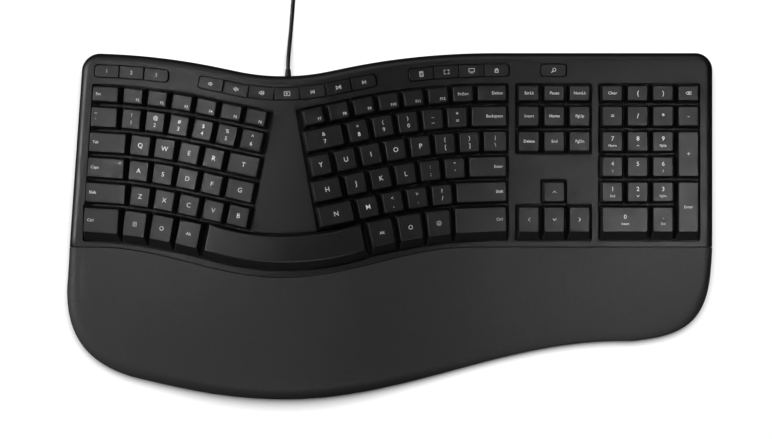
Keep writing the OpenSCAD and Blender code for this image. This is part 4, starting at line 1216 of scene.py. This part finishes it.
CORD_EXIT = (-77.0, 119.712, 8.6)
CORD_ROUTE = (
    (-77.0, 123, 8.6), (-76.8, 129, 7.7), (-76.3, 136, 5.7), (-75.8, 143, 3.6), (-75.2, 150, 2.2),
    (-74.6, 158, 1.7), (-74.0, 166, 1.6), (-73.4, 174, 1.6), (-72.8, 182, 1.9), (-72.2, 190, 2.4),
    (-72.0, 197, 2.6), (-72.0, 201, 2.6), (-72.0, 204, 2.6),
)
COIL_MIDDLE = (-50.0, 204.0)
COIL_LOW = 2.6
COIL_IN = 11.5
COIL_STEP = 3.5
COIL_LAYERS = 4
LAYER_TURNS = 3
LAYER_ANGLE = 360.0 * LAYER_TURNS
CLIMB = 180.0
LAST_EXTRA = 270.0
POINT_ANGLE = 15
# Way from the coil to the plug, and the share of the fall to the plug's height there
TAIL = ((9, 0), (17, 0.13), (25, 0.42), (33, 0.75), (41, 0.95), (48, 1), (52, 1))
PLUG_Z = 4.2


def coil_point(phi):
    """Point of the coil at an angle along it: turns spiral in and out, layer on layer."""
    lap = LAYER_ANGLE + CLIMB
    out = COIL_IN + LAYER_TURNS * COIL_STEP
    layer = min(int(phi // lap), COIL_LAYERS - 1)
    f = phi - layer * lap
    inward = layer % 2 == 0
    level = float(layer)
    if f > LAYER_ANGLE and layer < COIL_LAYERS - 1:
        g = f - LAYER_ANGLE
        bulge = COIL_STEP / 360 * (g - g * g / CLIMB)
        r = COIL_IN - bulge if inward else out + bulge
        level += (1 - math.cos(math.radians(g))) / 2
    else:
        r = out - COIL_STEP * f / 360 if inward else COIL_IN + COIL_STEP * f / 360
    a = math.radians(180 - phi)
    return (COIL_MIDDLE[0] + r * math.cos(a), COIL_MIDDLE[1] + r * math.sin(a), COIL_LOW + level * COIL_STEP)


def cord_line():
    """Middle line of the cord from the strain relief to the plug."""
    whole_angle = COIL_LAYERS * LAYER_ANGLE + (COIL_LAYERS - 1) * CLIMB + LAST_EXTRA
    steps = round(whole_angle / POINT_ANGLE)
    line = [CORD_EXIT, *CORD_ROUTE] + [coil_point(whole_angle * i / steps) for i in range(1, steps + 1)]
    x, y, z = line[-1]
    return line + [(x + far, y, mix(z, PLUG_Z, share)) for far, share in TAIL]


def build_cord():
    """Round jacketed cord with its ends: out of the case, down to the desk, and wound up behind it."""
    s = sizes()
    ends = [dress(*row) for row in CORD_ENDS]
    line = cord_line()
    curve = settle(bpy.data.curves.new("cord", "CURVE"), dimensions="3D", bevel_depth=s.cord_d / 2,
                   bevel_resolution=s.cord_sides, use_fill_caps=True)
    spline = curve.splines.new("POLY")
    spline.points.add(len(line) - 1)
    for point, p in zip(spline.points, line):
        point.co = (*(v * MM for v in p), 1)
    spline.use_smooth = True
    curve.materials.append(FINISHES["cord_rubber"])
    piece = add_object("cord", curve)
    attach(piece, "case")
    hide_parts("cord_lead", "cord_coil")
    length = sum(math.dist(a, b) for a, b in zip(line, line[1:])) * MM


# Stage, in metres

CAMERA_XY = (-0.0024, 0.0052)
FLOOR_REACH = 3.0
# Soft lights: place, aim, size, watts, what they fall on, and in degrees the spread that a grid leaves
LIGHTS = {
    "floor_light": ((0, 0.9, 2.4), (0, 0, 0), (2.8, 1.8), 114, "floor_only", 180),
    "side_light": ((-4.5, 0.4, 2.6), (0, 0, 0.02), (2.0, 1.0), 185, "all_but_floor", 180),
    "rear_light": ((0, 2.4, 2.5), (0, 0, 0.02), (2.4, 1.2), 18, "all_but_floor", 180),
    "front_light": ((0, -2.6, 2.4), (0, 0, 0.02), (2.4, 1.2), 26, "all_but_floor", 180),
    "left_light": ((-0.72, 0.1, 1.3), (-0.09, 0.06, 0.03), (0.06, 0.2), 0.028, "all_but_floor", 12),
    "right_light": ((0.42, 0.06, 1.2), (0.3, 0.06, 0.02), (0.08, 0.4), 0.037, "all_but_floor", 18),
    "palm_light": ((0.42, -0.1, 1.2), (0.26, -0.09, 0.02), (0.1, 0.1), 0.058, "all_but_floor", 22),
}


def light_group(name, floor, state):
    """Set of things that a light falls on: the floor alone, or all but the floor."""
    group = bpy.data.collections.new(name)
    group.objects.link(floor)
    group.collection_objects[0].light_linking.link_state = state
    return group


def softbox(name, where, target, size, power, falls_on, spread):
    """Soft light that looks at a point."""
    light = settle(bpy.data.lights.new(name, "AREA"), shape="RECTANGLE", size=size[0], size_y=size[1],
                   energy=power, spread=math.radians(spread))
    turn = (Vector(target) - Vector(where)).to_track_quat("-Z", "Y").to_euler()
    holder = settle(add_object(name, light), location=where, rotation_euler=turn)
    holder.light_linking.receiver_collection = falls_on


def build_stage():
    """Finishes, camera over the desk, pale floor, and soft lights."""
    make_finishes()
    s = sizes()
    scene = bpy.context.scene
    lens = settle(bpy.data.cameras.new("camera"), lens=s.camera_lens, sensor_width=36,
                  sensor_fit="HORIZONTAL", clip_start=0.05, clip_end=20)
    scene.camera = settle(add_object("camera", lens), location=(*CAMERA_XY, s.camera_height))

    bm = bmesh.new()
    bmesh.ops.create_grid(bm, x_segments=8, y_segments=8, size=FLOOR_REACH)
    mesh = bpy.data.meshes.new("floor")
    bm.to_mesh(mesh)
    bm.free()
    mesh.materials.append(toned("floor", colours().floor, 0.85, "Tone", 0.01, specular=0.2))
    floor = settle(add_object("floor", mesh), visible_diffuse=False, visible_glossy=False)

    groups = {name: light_group(name, floor, state)
              for name, state in (("floor_only", "INCLUDE"), ("all_but_floor", "EXCLUDE"))}
    for name, (where, target, size, power, falls_on, spread) in LIGHTS.items():
        softbox(name, where, target, size, power, groups[falls_on], spread)
    world = bpy.data.worlds.new("studio")
    world.use_nodes = True
    back = world.node_tree.nodes["Background"].inputs
    back["Color"].default_value = (1, 1, 1, 1)
    back["Strength"].default_value = 0.01
    scene.world = world
    scene.view_settings.view_transform = "Standard"


# Operators

class KEYBOARD_OT_stage(bpy.types.Operator):
    """Makes the camera, the pale floor, the lights and the finishes"""

    bl_idname = "keyboard.stage"
    bl_label = "Stage"

    def execute(self, context):
        build_stage()
        return {"FINISHED"}


class KEYBOARD_OT_cord(bpy.types.Operator):
    """Makes the cord, its strain relief, its tie and its plug"""

    bl_idname = "keyboard.cord"
    bl_label = "Cord"

    def execute(self, context):
        build_cord()
        return {"FINISHED"}


class KEYBOARD_OT_deck(bpy.types.Operator):
    """Makes the top case with its rolled rim and key wells"""

    bl_idname = "keyboard.deck"
    bl_label = "Deck"

    def execute(self, context):
        build_deck()
        return {"FINISHED"}


class KEYBOARD_OT_cushion(bpy.types.Operator):
    """Makes the padded palm rest"""

    bl_idname = "keyboard.cushion"
    bl_label = "Palm rest"

    def execute(self, context):
        build_cushion()
        return {"FINISHED"}


class KEYBOARD_OT_keys(bpy.types.Operator):
    """Makes the key caps and prints their legends"""

    bl_idname = "keyboard.keys"
    bl_label = "Keys"

    def execute(self, context):
        build_all_keys()
        return {"FINISHED"}


class KEYBOARD_OT_space_bar(bpy.types.Operator):
    """Makes the space bar"""

    bl_idname = "keyboard.space_bar"
    bl_label = "Space bar"

    def execute(self, context):
        build_space_bar()
        return {"FINISHED"}


class KEYBOARD_OT_hot_keys(bpy.types.Operator):
    """Makes the low hot keys along the rear and prints their signs"""

    bl_idname = "keyboard.hot_keys"
    bl_label = "Hot keys"

    def execute(self, context):
        build_hot_keys()
        return {"FINISHED"}


class KEYBOARD_OT_underside(bpy.types.Operator):
    """Makes the bottom case, the screws and the feet"""

    bl_idname = "keyboard.underside"
    bl_label = "Underside"

    def execute(self, context):
        build_underside()
        return {"FINISHED"}


class KEYBOARD_OT_inside(bpy.types.Operator):
    """Gives the pieces that keep their CAD solids their finishes"""

    bl_idname = "keyboard.inside"
    bl_label = "Inside"

    def execute(self, context):
        finish_inside()
        return {"FINISHED"}


class KEYBOARD_PT_sidebar(bpy.types.Panel):
    """Steps and sizes of the keyboard"""

    bl_label = "Keyboard"
    bl_idname = "KEYBOARD_PT_sidebar"
    bl_space_type = "VIEW_3D"
    bl_region_type = "UI"
    bl_category = "Keyboard"

    def draw(self, context):
        for step in STEPS:
            self.layout.operator(step.bl_idname)
        for group in (context.scene.keyboard_sizes, context.scene.keyboard_colours):
            box = self.layout.box()
            for name in group.__annotations__:
                box.prop(group, name)


STEPS = (
    KEYBOARD_OT_stage, KEYBOARD_OT_cord, KEYBOARD_OT_deck, KEYBOARD_OT_cushion, KEYBOARD_OT_keys,
    KEYBOARD_OT_space_bar, KEYBOARD_OT_hot_keys, KEYBOARD_OT_underside, KEYBOARD_OT_inside,
)
CLASSES = (KeyboardSizes, KeyboardColours, *STEPS, KEYBOARD_PT_sidebar)


def register():
    for kind in CLASSES:
        bpy.utils.register_class(kind)
    bpy.types.Scene.keyboard_sizes = PointerProperty(type=KeyboardSizes)
    bpy.types.Scene.keyboard_colours = PointerProperty(type=KeyboardColours)


def unregister():
    del bpy.types.Scene.keyboard_colours
    del bpy.types.Scene.keyboard_sizes
    for kind in reversed(CLASSES):
        bpy.utils.unregister_class(kind)


def main():
    register()
    bpy.ops.keyboard.stage()
    bpy.ops.keyboard.cord()
    bpy.ops.keyboard.deck()
    bpy.ops.keyboard.cushion()
    bpy.ops.keyboard.keys()
    bpy.ops.keyboard.space_bar()
    bpy.ops.keyboard.hot_keys()
    bpy.ops.keyboard.underside()
    bpy.ops.keyboard.inside()


if __name__ == "__main__":
    main()
